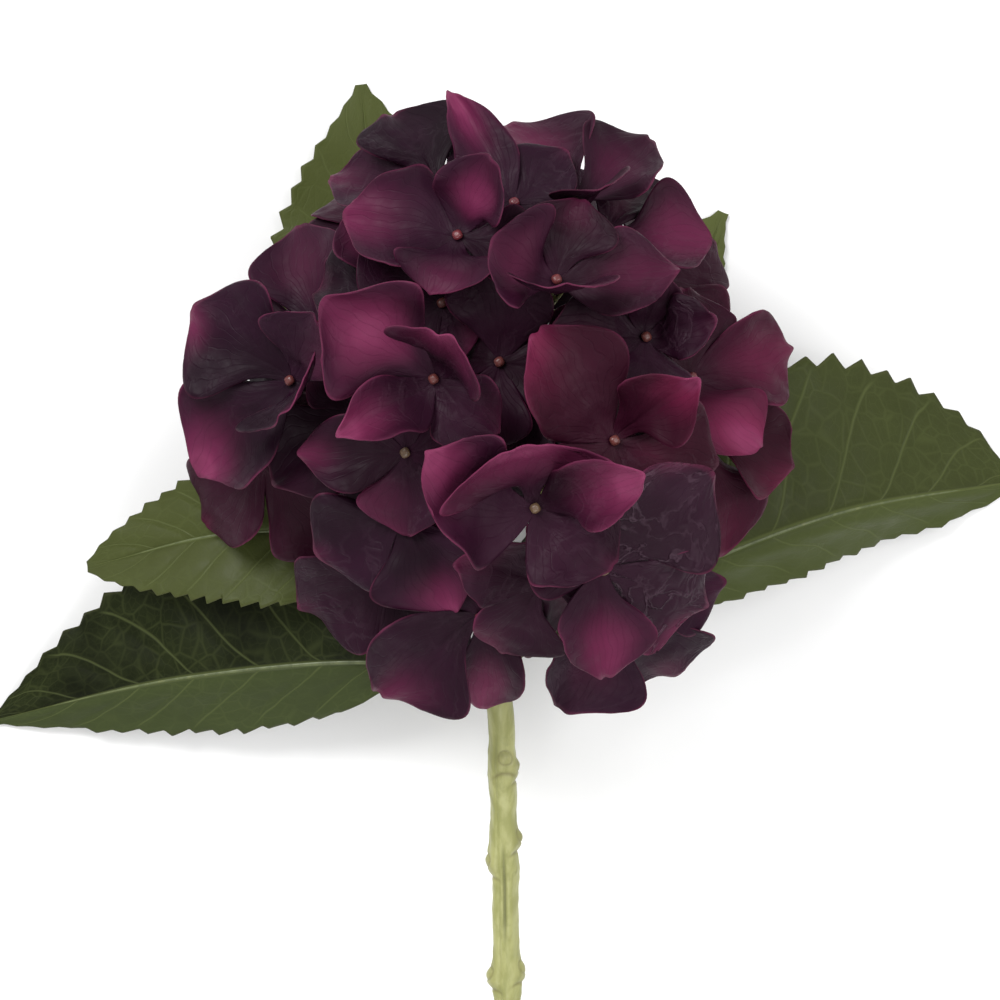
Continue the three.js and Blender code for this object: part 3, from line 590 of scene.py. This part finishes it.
def leaf_material():
    """Printed leaf fabric: dark green with a pale net of pressed veins."""
    material, tree, shader = new_material("leaf_fabric")
    n = Nodes(tree)
    flat = n.attribute("flat", "Vector")
    pale, tone = n.attribute("pale"), n.attribute("tone")
    side = n.math("ABSOLUTE", n.attribute("across"))

    cloud = n.noise(flat, 38, 4)
    mottle = n.noise(flat, 160, 3)
    colour = n.mix(n.remap(cloud, 0.3, 0.7), LEAF_BLACK, LEAF_DARK)
    colour = n.mix(n.math("MULTIPLY", n.remap(mottle, 0.35, 0.75), 0.4), colour, LEAF_MOTTLE)
    colour = n.mix(pale, colour, LEAF_UNDERSIDE)
    # olive share per leaf: partly its own tone, partly painted light and shade
    colour = n.mix(n.math("MULTIPLY", tone, 0.62), colour, LEAF_OLIVE)

    # side veins sweep towards the tip, with a fine net between them
    phase = n.math("ADD", n.attribute("phase"), n.math("MULTIPLY", n.noise(flat, 45, 2), 0.30))
    ridge = n.math("ABSOLUTE", n.math("SUBTRACT", n.math("FRACT", phase), 0.5))
    vein = n.math("MULTIPLY", n.remap(ridge, 0.0, 0.045, 1.0, 0.0), n.remap(side, 0.80, 1.0, 1, 0))
    midrib = n.remap(side, 0.015, 0.050, 1.0, 0.0)
    warped = n.warped(flat, 70, 0.004)
    net = n.remap(n.cells(warped, 190), 0.0, 0.10, 1.0, 0.0)
    small = n.remap(n.cells(warped, 480), 0.0, 0.10, 1.0, 0.0)
    fine = n.math("MAXIMUM", n.math("MULTIPLY", net, 0.20), n.math("MULTIPLY", small, 0.09))
    fine = n.math("MULTIPLY", fine, n.remap(cloud, 0.35, 0.6, 0.35, 1.0))
    lines = n.math("MAXIMUM", fine, n.math("MULTIPLY", vein, 0.55))
    lines = n.math("MAXIMUM", lines, n.math("MULTIPLY", midrib, 0.8))
    colour = n.mix(n.math("MULTIPLY", lines, 0.6), colour, LEAF_VEIN)
    edge = n.remap(side, 0.965, 1.0)
    colour = n.mix(n.math("MULTIPLY", edge, 0.35), colour, LEAF_EDGE)
    tree.links.new(colour, shader.inputs["Base Color"])
    tree.links.new(n.remap(mottle, 0.3, 0.7, 0.38, 0.55), shader.inputs["Roughness"])
    height = n.math("ADD", n.math("MULTIPLY", mottle, 0.25), n.math("MULTIPLY", lines, -0.9))
    tree.links.new(n.bump(height, 0.5, 0.0005), shader.inputs["Normal"])
    shader.inputs["Specular IOR Level"].default_value = 0.09
    return material


def stem_material(name, pale, deep):
    """Moulded plastic stalk: pale green with darker streaks and worn nodes."""
    material, tree, shader = new_material(name)
    n = Nodes(tree)
    coord = tree.nodes.new("ShaderNodeTexCoord").outputs["Object"]
    stretch = tree.nodes.new("ShaderNodeVectorMath")
    stretch.operation = "MULTIPLY"
    n.put(stretch.inputs[0], coord)
    stretch.inputs[1].default_value = (1.0, 0.12, 1.0)
    streak = n.noise(stretch.outputs[0], 420, 4)
    spots = n.noise(coord, 260, 3)
    node_mark = n.attribute("mark")
    groove = n.attribute("groove")
    colour = n.mix(n.remap(streak, 0.32, 0.68), pale, deep)
    colour = n.mix(n.math("MULTIPLY", n.remap(spots, 0.58, 0.75), 0.4), colour, STALK_SPOT)
    colour = n.mix(n.math("MULTIPLY", node_mark, 0.75), colour, STALK_SCAR)
    colour = n.mix(groove, colour, STALK_GROOVE)
    tree.links.new(colour, shader.inputs["Base Color"])
    tree.links.new(n.remap(streak, 0.3, 0.7, 0.36, 0.52), shader.inputs["Roughness"])
    tree.links.new(n.bump(streak, 0.35, 0.0003), shader.inputs["Normal"])
    shader.inputs["Specular IOR Level"].default_value = 0.45
    return material


def bead_material():
    """Small moulded bud: wine red to straw, darker at the foot."""
    material, tree, shader = new_material("bead_plastic")
    n = Nodes(tree)
    coord = tree.nodes.new("ShaderNodeTexCoord").outputs["Object"]
    tint, height = n.attribute("tone"), n.attribute("along")
    speck = n.noise(coord, 1500, 3)
    colour = n.mix(tint, BEAD_WINE, BEAD_STRAW)
    colour = n.mix(n.remap(height, 0.0, 0.55, 0.85, 0.0), colour, BEAD_FOOT)
    colour = n.mix(n.math("MULTIPLY", n.remap(speck, 0.45, 0.7), 0.5), colour, BEAD_SPECK)
    tree.links.new(colour, shader.inputs["Base Color"])
    tree.links.new(n.remap(speck, 0.3, 0.7, 0.25, 0.45), shader.inputs["Roughness"])
    tree.links.new(n.bump(speck, 0.3, 0.0001), shader.inputs["Normal"])
    return material


SEPAL = sepal_material()
LEAF = leaf_material()
STALK = stem_material("stalk_plastic", STALK_PALE, STALK_DEEP)
PETIOLE = stem_material("petiole_plastic", PETIOLE_PALE, PETIOLE_DEEP)
BEAD = bead_material()

# ======================= sepals =======================
# The magenta is partly the fabric's dye and partly painted sheen where light falls.
# Where the magenta shows on a sepal, by floret and by the sepal's direction in degrees:
# (share of length, side -1..1, spread, strength).  Others are drawn at random.
MAGENTA_AND_SHEEN = {
    "left_outer": {146: (1.0, 0.3, 0.24, 0.6), 214: (1.0, 0.0, 0.36, 1.0),
                   310: (0.9, 0.0, 0.40, 0.6)},
    "left_upper": {98: (0.6, 0.0, 0.40, 0.4)},
    "left_bowl": {142: (0.62, 0.0, 0.36, 1.0), 56: (0.9, 0.0, 0.45, 0.8),
                  214: (1.0, 0.0, 0.45, 1.05)},
    "left_centre": {181: (0.95, 0.0, 0.30, 0.5)},
    "mid_left": {300: (0.95, 0.0, 0.30, 0.8), 212: (1.0, 0.0, 0.2, 0.2)},
    "lower_left": {318: (0.9, -0.6, 0.30, 0.7), 212: (1.0, 0.0, 0.2, 0.2)},
    "bottom_left": {226: (0.95, 0.2, 0.30, 0.45), 277: (0.8, 0.0, 0.36, 0.75)},
    "front": {168: (1.05, 0.0, 0.36, 1.0), 104: (0.95, 0.0, 0.50, 0.95),
              24: (0.95, 0.0, 0.50, 1.0), 325: (1.0, 0.0, 0.2, 0.15)},
    "right_lower": {38: (0.95, 0.8, 0.20, 0.4), 330: (0.95, -0.8, 0.25, 0.6),
                    272: (0.75, 0.0, 0.40, 0.75)},
    "bottom_right": {236: (0.6, 0.0, 0.30, 0.3), 296: (0.9, 0.0, 0.25, 0.3)},
    "right_outer": {16: (0.75, 0.0, 0.50, 0.6), 300: (0.8, 0.0, 0.50, 1.0)},
    "right_centre": {350: (0.5, 0.0, 0.50, 0.30), 128: (1.0, 0.4, 0.40, 0.65),
                     44: (1.0, 0.0, 0.36, 1.0)},
    "upper_right": {74: (0.8, 0.0, 0.30, 0.3), 8: (0.7, 0.0, 0.40, 0.4),
                    160: (0.6, 0.0, 0.40, 0.45), 272: (0.95, 0.0, 0.30, 0.6)},
    "right_upper": {6: (0.7, 0.0, 0.45, 0.65), 58: (0.5, 0.0, 0.40, 0.3)},
    "top_centre": {118: (0.65, 0.3, 0.40, 0.65), 52: (0.5, 0.0, 0.40, 0.3),
                   190: (0.6, 0.0, 0.50, 0.55)},
    "top_spike": {118: (0.9, 0.0, 0.40, 0.95), 50: (1.0, 0.0, 0.2, 0.1)},
    "top_left": {98: (1.0, 0.0, 0.2, 0.08), 166: (0.9, 0.0, 0.35, 0.35)},
    "upper_left": {166: (0.9, 0.0, 0.40, 0.55), 50: (0.5, 0.0, 0.36, 0.9)},
    "left_fan": {112: (0.7, 0.0, 0.45, 0.65)},
    "left_shoulder": {174: (1.0, 0.0, 0.2, 0.15)},
    "left_lower": {222: (1.0, 0.0, 0.2, 0.2), 322: (1.0, 0.0, 0.2, 0.15)},
    "middle": {80: (1.0, 0.0, 0.2, 0.1), 350: (1.0, 0.0, 0.2, 0.12)},
}
WINE_FLORETS = ("right_mid", "right_outer", "right_centre", "left_lower", "right_shoulder")
EMBOSSED = {"right_lower": (38, 330)}      # sepals by direction in degrees
PALE_BEADS = ("left_centre", "right_lower", "front", "bottom_centre", "mid_left")


def sepal_outline(rng):
    """Grid of a sepal with a round tip: shares (s, t) and lattice places (u, v)."""
    s, t = np.meshgrid(np.linspace(0, 1, SEPAL_ROWS) ** 0.9,
                       np.linspace(-1, 1, SEPAL_COLUMNS), indexing="ij")
    high = ramp((s - TIP_FROM) / (1 - TIP_FROM))
    notch = rng.uniform(-0.035, 0.03) * hill(t / 0.22) * s ** 6
    width = TIP_REACH + SHOULDER * hill((s - SHOULDER_AT) / SHOULDER_SPREAD)
    tip = (TIP_REACH - TIP_FROM) * high * np.sqrt(1 - TIP_ROUND * t ** 2 / 2)
    u = np.where(s < TIP_FROM, s, TIP_FROM + tip) + notch
    v = t * width * np.sqrt(1 - TIP_ROUND * high ** 2 / 2)
    v *= 1 + 0.02 * np.sin(9 * s + rng.uniform(0, 6)) * np.abs(t) ** 4
    return s, t, u, v


def sepal_relief(s, t, rim, place, size, rng):
    """Height of the frill, curled rim, middle crease, pleats and puffs of a sepal."""
    theta = np.arctan2(t * 0.9, s + 0.001)
    frill = np.zeros_like(s)
    for k in FRILL_WAVES:
        frill += rng.uniform(0.4, 1.0) / k * np.sin(k * theta * 1.6 + rng.uniform(0, 6.3))
    frill *= FRILL * rim ** 2.4
    roll = -rng.uniform(*ROLL) * MM * rim ** 5
    crease = -CREASE * hill(t / 0.07) * ramp(1.2 - s) * ramp(s * 4)
    pleat = np.sin((np.arctan2(t, s + 0.12)) * rng.uniform(11, 15) + rng.uniform(0, 6.3))
    pleat = PLEAT * pleat * ramp(s * 3) * ramp(1.1 - s)
    puff = (PUFF * waves(place, int(rng.integers(1e6)), PUFF_SIZE)
            + FINE_PUFF * waves(place, int(rng.integers(1e6)), FINE_PUFF_SIZE)).reshape(s.shape)
    return size * (frill + roll) + crease + pleat + puff * ramp(s * 4)


def sepal_magenta_and_sheen(s, t, rim, look):
    """Share of magenta, partly the fabric's dye and partly painted sheen and rim highlight: one
    soft spot, and a thin band along the rim near it.
    """
    u0, v0, spread, strength = look
    away = ((s - u0) ** 2 + (0.55 * (t - v0)) ** 2) / (spread ** 2)
    glow = strength * np.exp(-away) * ramp((s - 0.05) * 4)
    band = ramp((rim - 0.72) / 0.28) ** 2 * np.exp(-away * 0.25)
    return glow + (0.10 + 0.30 * strength) * band


def sepal_sheet(builder, lattice, centre, axis, rng, look, wine, emboss):
    """Adds one sepal: a ruffled thin sheet over the CAD lattice, from the floret's middle."""
    foot = centre + SHEET_FOOT * (lattice[0] - centre)
    rows = np.concatenate([[foot], lattice])
    s, t, u, v = sepal_outline(rng)
    wu, wv = spline_weights(SEPAL_U, u), spline_weights(SEPAL_V, v)
    co = surface(rows, wu, wv).reshape(SEPAL_ROWS, SEPAL_COLUMNS, 3)
    normal = grid_normals(co)
    if (normal * axis).sum() < 0:
        normal = -normal
    rim = np.maximum(np.abs(t), s) * ramp(s * 3)
    length = np.linalg.norm(lattice[-1].mean(0) - lattice[0].mean(0))
    lift = sepal_relief(s, t, rim, co.reshape(-1, 3), length / USUAL_SEPAL, rng)
    co = co + normal * lift[..., None]
    half_width = np.linalg.norm(lattice[2][0] - lattice[2][-1]) / 2
    flat = np.stack([t * half_width * ramp(0.35 + s), s * length,
                     np.full_like(s, rng.uniform(0, 5))], axis=-1)
    builder.add(co.reshape(-1, 3), grid_faces(SEPAL_ROWS, SEPAL_COLUMNS),
                along=s, across=t, rim=rim, glow=sepal_magenta_and_sheen(s, t, rim, look),
                tone=rng.uniform(0, 1), wine=wine, emboss=emboss, flat=flat)


def thicken(obj, thickness):
    """Gives a sheet a thickness, half to each side, and applies it."""
    modifier = obj.modifiers.new("thickness", "SOLIDIFY")
    modifier.thickness = thickness
    modifier.offset = 0.0
    modifier.use_even_offset = False
    modifier.use_quality_normals = True
    apply_modifiers(obj)


def apply_modifiers(obj):
    graph = bpy.context.evaluated_depsgraph_get()
    done = bpy.data.meshes.new_from_object(obj.evaluated_get(graph))
    obj.modifiers.clear()
    old = obj.data
    obj.data = done
    bpy.data.meshes.remove(old)


def make_floret(name):
    """The four sepal sheets of a floret, and its bead on a small green cup."""
    rng = np.random.default_rng(sum(ord(c) * (k + 3) for k, c in enumerate(name)))
    centre, axis, lattices, apex, base = floret_lattice(name)
    key = name.removeprefix("floret_")
    looks = MAGENTA_AND_SHEEN.get(key, {})
    wine = rng.uniform(0.45, 0.7) if key in WINE_FLORETS else rng.uniform(0.0, 0.2)
    builder = Builder()
    for lattice in lattices:
        out = lattice[-1].mean(0) - centre
        way = math.degrees(math.atan2(out[1], out[0])) % 360
        look = (rng.uniform(0.6, 1.0), rng.uniform(-0.8, 0.8), rng.uniform(0.3, 0.5),
                rng.uniform(0.05, 0.5))
        near = sorted((abs((way - a + 180) % 360 - 180), a) for a in looks)
        if near and near[0][0] < GLOW_REACH:
            look = looks[near[0][1]]
        crinkled = any(abs(way - a) < EMBOSS_REACH for a in EMBOSSED.get(key, ()))
        emboss = 1.0 if crinkled else rng.uniform(0.0, 0.22)
        sepal_sheet(builder, lattice, centre, axis, rng, look, wine, emboss)
    sheet = builder.make(name + "_sepals", [SEPAL])
    thicken(sheet, SEPAL_THICKNESS)
    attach(sheet, "root")
    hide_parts(name)

    middle = Builder()
    height = np.linalg.norm(apex - centre)
    bead = [(r * MM, h * height) for r, h in
            ((1.05, 0.05), (0.85, 0.16), (1.15, 0.26), (1.38, 0.42), (1.42, 0.56),
             (1.28, 0.72), (0.95, 0.86), (0.52, 0.95), (0.18, 0.93))]
    co, faces = revolve(centre, axis, bead, 24, lobes=0.05)
    rise = (co - centre) @ axis / height
    middle.add(co, faces, 0, along=rise, tone=0.85 if key in PALE_BEADS else rng.uniform(0, 0.35))
    depth = np.linalg.norm(base - centre)
    cup = [(0.95 * MM, -depth), (1.15 * MM, -0.85 * depth), (1.25 * MM, -0.6 * depth),
           (1.8 * MM, -0.35 * depth), (2.4 * MM, -0.12 * depth), (2.3 * MM, -0.05 * depth)]
    co, faces = revolve(centre, axis, cup, 16)
    middle.add(co, faces, 1)
    eye = middle.make(name + "_eye", [BEAD, PETIOLE])
    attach(eye, "root")


for floret in floret_names:
    make_floret(floret)

# ======================= leaves =======================
PALE_HALVES = ("leaf_right", "leaf_lower_left")      # one half shows its paler underside
PALE_SHARE = 0.55
# share of olive in each blade, partly its own tone and partly painted light and shade:
# leaf_lower_left is painted dark as the shade under the head
LEAF_TONES_AND_SHADE = {"leaf_right": 0.55, "leaf_mid_left": 0.85, "leaf_lower_left": 0.0,
              "leaf_upper_left": 1.25, "leaf_upper_right": 1.6}


def make_leaf(name):
    """The quilted blade of a leaf, and the petiole that runs on under it."""
    rng = np.random.default_rng(sum(ord(c) * (k + 5) for k, c in enumerate(name)))
    lattice = leaf_lattice(name)
    stations = np.arange(LEAF_STATIONS, dtype=float)
    columns = np.linspace(-1, 1, LEAF_CELLS + 1)
    first = PETIOLE_STATIONS - BLADE_FOOT
    s, t = np.meshgrid(np.linspace(0, 1, LEAF_ROWS), np.linspace(-1, 1, LEAF_COLUMNS),
                       indexing="ij")
    u = first + (LEAF_STATIONS - 1 - first) * s
    smooth = lattice.copy()
    for j in range(PETIOLE_STATIONS + 1, LEAF_STATIONS - 1):
        smooth[j] = 0.25 * lattice[j - 1] + 0.5 * lattice[j] + 0.25 * lattice[j + 1]
    wu, wv = spline_weights(stations, u), spline_weights(columns, t)
    inner = surface(smooth, wu, wv).reshape(LEAF_ROWS, LEAF_COLUMNS, 3)
    outer = surface(lattice, line_weights(stations, u), wv).reshape(LEAF_ROWS, LEAF_COLUMNS, 3)
    edge = (np.abs(t) ** 5)[..., None]
    co = inner * (1 - edge) + outer * edge
    normal = grid_normals(co)
    if normal[..., 2].sum() < 0:
        normal = -normal
    side = np.abs(t)
    phase = (s - VEIN_SWEEP * side ** 0.85) * SIDE_VEINS
    quilt = np.abs(np.sin(math.pi * (phase - 0.5))) ** 0.6
    body = ramp(s * 8) * ramp((1 - s) * 6)
    lift = QUILT * (quilt - 0.5) * (1 - side ** 4) * ramp(side * 6) * body
    lift += -MIDRIB_GROOVE * hill(side / 0.05) * body
    flow = waves(co.reshape(-1, 3), 11, LEAF_FLOW_SIZE).reshape(s.shape)
    ripple = waves(co.reshape(-1, 3), 12, LEAF_RIPPLE_SIZE).reshape(s.shape)
    lift += (LEAF_FLOW * flow * side ** 2 + LEAF_RIPPLE * ripple * side ** 3) * body
    co = co + normal * lift[..., None]
    co[..., 2] = np.maximum(co[..., 2], LEAF_FLOOR_GAP)
    length = np.linalg.norm(np.diff(co[:, LEAF_COLUMNS // 2], axis=0), axis=1).sum()
    half = np.linalg.norm(lattice[WIDE_STATION, 0] - lattice[WIDE_STATION, -1]) / 2
    flat = np.stack([t * half, s * length, np.full_like(s, rng.uniform(0, 5))], axis=-1)
    underside = PALE_SHARE * ramp((name in PALE_HALVES) * t * 20)
    builder = Builder()
    builder.add(co.reshape(-1, 3), grid_faces(LEAF_ROWS, LEAF_COLUMNS), 0, across=t,
                tone=LEAF_TONES_AND_SHADE[name], pale=underside, flat=flat, phase=phase)
    blade = builder.make(name + "_blade", [LEAF])
    thicken(blade, LEAF_THICKNESS)
    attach(blade, "root")
    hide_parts(name)

    # petiole, running on under the blade as its midrib
    ribs = lattice.mean(1)
    ribs[PETIOLE_STATIONS:] = lattice[PETIOLE_STATIONS:, LEAF_CELLS // 2]
    at = np.linspace(0, LEAF_STATIONS - 4.0, 120)
    path = spline_weights(stations, at) @ ribs
    radius = np.interp(at, [0, 0.15, 2, 4, 12, LEAF_STATIONS - 4],
                       np.array([1.9, 1.55, 1.45, 1.1, 0.6, 0.25]) * MM)
    sink = np.interp(at, [0, 2, 4, 12], np.array([1.3, 1.3, 1.0, 0.55]) * MM)
    path[:, 2] = np.maximum(path[:, 2] - sink, radius + 0.05 * MM)
    co, faces = tube(path, radius, 16, squash=0.9)
    rib = Builder()
    rib.add(co, faces, 0, mark=0.0, groove=0.0)
    petiole = rib.make(name + "_petiole", [PETIOLE])
    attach(petiole, "root")


for leaf in leaf_names:
    make_leaf(leaf)

# ======================= stem =======================
def make_stem():
    """The CAD stem, rounded by a fine remesh, with a seam, a slit and scarred nodes."""
    cad = nodes["stem"]
    obj = bpy.data.objects.new("stem_round", cad.data.copy())
    bpy.context.scene.collection.objects.link(obj)
    weld = obj.modifiers.new("weld", "WELD")
    weld.merge_threshold = 0.002 * MM
    remesh = obj.modifiers.new("remesh", "REMESH")
    remesh.mode = "VOXEL"
    remesh.voxel_size = STEM_VOXEL
    smooth = obj.modifiers.new("smooth", "SMOOTH")
    smooth.factor = 0.5
    smooth.iterations = 8
    apply_modifiers(obj)
    mesh = obj.data
    co = np.zeros(len(mesh.vertices) * 3)
    mesh.vertices.foreach_get("co", co)
    co = co.reshape(-1, 3)

    # centre line of the stalk, slice by slice
    low_y = co[:, 1].min()
    stalk_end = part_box("floret_bottom_left")[0].y
    slices = np.linspace(low_y + 3 * MM, stalk_end, 40)
    centres = []
    for y in slices:
        near = co[np.abs(co[:, 1] - y) < 1.2 * MM]
        centres.append(((near[:, 0].min() + near[:, 0].max()) / 2,
                        (near[:, 2].min() + near[:, 2].max()) / 2))
    centres = np.array(centres)
    kernel = np.ones(5) / 5
    for k in range(2):
        padded = np.pad(centres[:, k], 2, mode="edge")
        centres[:, k] = np.convolve(padded, kernel, "valid")
    stalk = co[:, 1] < stalk_end
    cx = np.interp(co[:, 1], slices, centres[:, 0])
    cz = np.interp(co[:, 1], slices, centres[:, 1])
    dx, dz = co[:, 0] - cx, co[:, 2] - cz
    radius = np.hypot(dx, dz)
    angle = np.degrees(np.arctan2(dz, dx))
    fade = ramp((stalk_end - co[:, 1]) / (8 * MM)) * stalk
    fade *= ramp((co[:, 1] - low_y) / (1.5 * MM))

    def turn(a):
        """Degrees round the stalk from side a."""
        return np.abs((angle - a + 180) % 360 - 180)

    seam = hill(turn(SEAM_SIDE) / 6) * SEAM_DEPTH
    slit_zone = hill((co[:, 1] - low_y - SLIT_ABOVE_CUT) / (12 * MM), 4)
    slit = hill(turn(SLIT_SIDE) / 7) * slit_zone
    ribs = 0.10 * MM * np.sin(np.radians(angle) * 5 + co[:, 1] * 60)
    lumps = 0.16 * MM * waves(co, 21, 16 * MM) + 0.05 * MM * waves(co, 22, 4 * MM)
    scar = np.zeros(len(co))
    knots = np.zeros(len(co))
    for share, side, rise in KNOTS:
        above = (co[:, 1] - low_y - share * (stalk_end - low_y)) / MM
        arch = above + 1.6 * (turn(side) / 60) ** 2
        around = hill(turn(side) / 58, 4)
        knots += rise * MM * around * hill(above / np.where(above > 0, 3.6, 1.7))
        knots += BUD_HEIGHT * hill((above - 2.2) / 1.5) * hill(turn(side) / 20)
        scar = np.maximum(scar, around * hill((arch + 2.2) / 0.55))
        ring = (turn(side) / 26) ** 2 + ((above - 2.2) / 2.0) ** 2 - 1
        scar = np.maximum(scar, 0.7 * around * np.exp(-ring ** 2 / 0.06))
    push = fade * (ribs + lumps + knots - seam - SLIT_DEPTH * slit - SCAR_DEPTH * scar)
    ok = radius > 1.0 * MM
    co[:, 0] += np.where(ok, dx / np.maximum(radius, 1e-6) * push, 0)
    co[:, 2] += np.where(ok, dz / np.maximum(radius, 1e-6) * push, 0)
    swell = ramp(scar + 0.25 * knots / MM) * fade
    co[:, 2] = np.maximum(co[:, 2], 0.02 * MM)
    mesh.vertices.foreach_set("co", co.ravel())
    for key, value in (("mark", swell), ("groove", ramp(slit * fade * 0.9))):
        mesh.attributes.new(key, "FLOAT", "POINT").data.foreach_set("value", value)
    mesh.materials.clear()
    mesh.materials.append(STALK)
    mesh.polygons.foreach_set("use_smooth", [True] * len(mesh.polygons))
    mesh.polygons.foreach_set("material_index", [0] * len(mesh.polygons))
    mesh.update()
    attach(obj, "root")
    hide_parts("stem")


make_stem()

# ======================= stage, light and camera =======================
head_low = np.min([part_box(n)[0] for n in floret_names], axis=0)
head_high = np.max([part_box(n)[1] for n in floret_names], axis=0)
head = (head_low + head_high) / 2
aim = Vector((head[0] + AIM_FROM_HEAD[0], head[1] + AIM_FROM_HEAD[1], AIM_HEIGHT))


def make_floor():
    corners = [(x * FLOOR_HALF, y * FLOOR_HALF, 0) for x, y in ((-1, -1), (1, -1), (1, 1), (-1, 1))]
    mesh = bpy.data.meshes.new("floor")
    mesh.from_pydata(corners, [], [(0, 1, 2, 3)])
    material, tree, shader = new_material("floor_paper")
    n = Nodes(tree)
    coord = tree.nodes.new("ShaderNodeTexCoord").outputs["Object"]
    grain = n.noise(coord, 40, 3)
    tree.links.new(n.mix(grain, FLOOR_GREY, FLOOR_WHITE), shader.inputs["Base Color"])
    shader.inputs["Roughness"].default_value = 0.9
    shader.inputs["Specular IOR Level"].default_value = 0.1
    mesh.materials.append(material)
    obj = bpy.data.objects.new("floor", mesh)
    bpy.context.scene.collection.objects.link(obj)


def area_light(name, place, size, watts):
    light = bpy.data.lights.new(name, "AREA")
    light.shape = "DISK"
    light.size = size
    light.energy = watts
    obj = bpy.data.objects.new(name, light)
    obj.location = aim + Vector(place)
    obj.rotation_euler = (-Vector(place)).to_track_quat("-Z", "Y").to_euler()
    bpy.context.scene.collection.objects.link(obj)


make_floor()
area_light("key", (-0.75, 0.85, 1.35), 0.9, 26)
area_light("fill", (0.95, 0.10, 1.30), 1.2, 12)
area_light("front", (0.0, -1.1, 1.10), 1.2, 8)
world = bpy.data.worlds.new("studio")
world.use_nodes = True
background = world.node_tree.nodes["Background"]
background.inputs["Color"].default_value = (1.0, 1.0, 1.0, 1)
background.inputs["Strength"].default_value = WORLD_STRENGTH
bpy.context.scene.world = world
bpy.context.scene.view_settings.view_transform = "Standard"
bpy.context.scene.view_settings.look = "None"

camera = bpy.data.cameras.new("camera")
camera.sensor_width = SENSOR
camera.lens = SENSOR * CAMERA_HEIGHT / PICTURE_WIDTH
camera.clip_start = 0.05
camera.clip_end = 50
camera_object = bpy.data.objects.new("camera", camera)
camera_object.location = aim + Vector((0, 0, CAMERA_HEIGHT))
bpy.context.scene.collection.objects.link(camera_object)
bpy.context.scene.camera = camera_object
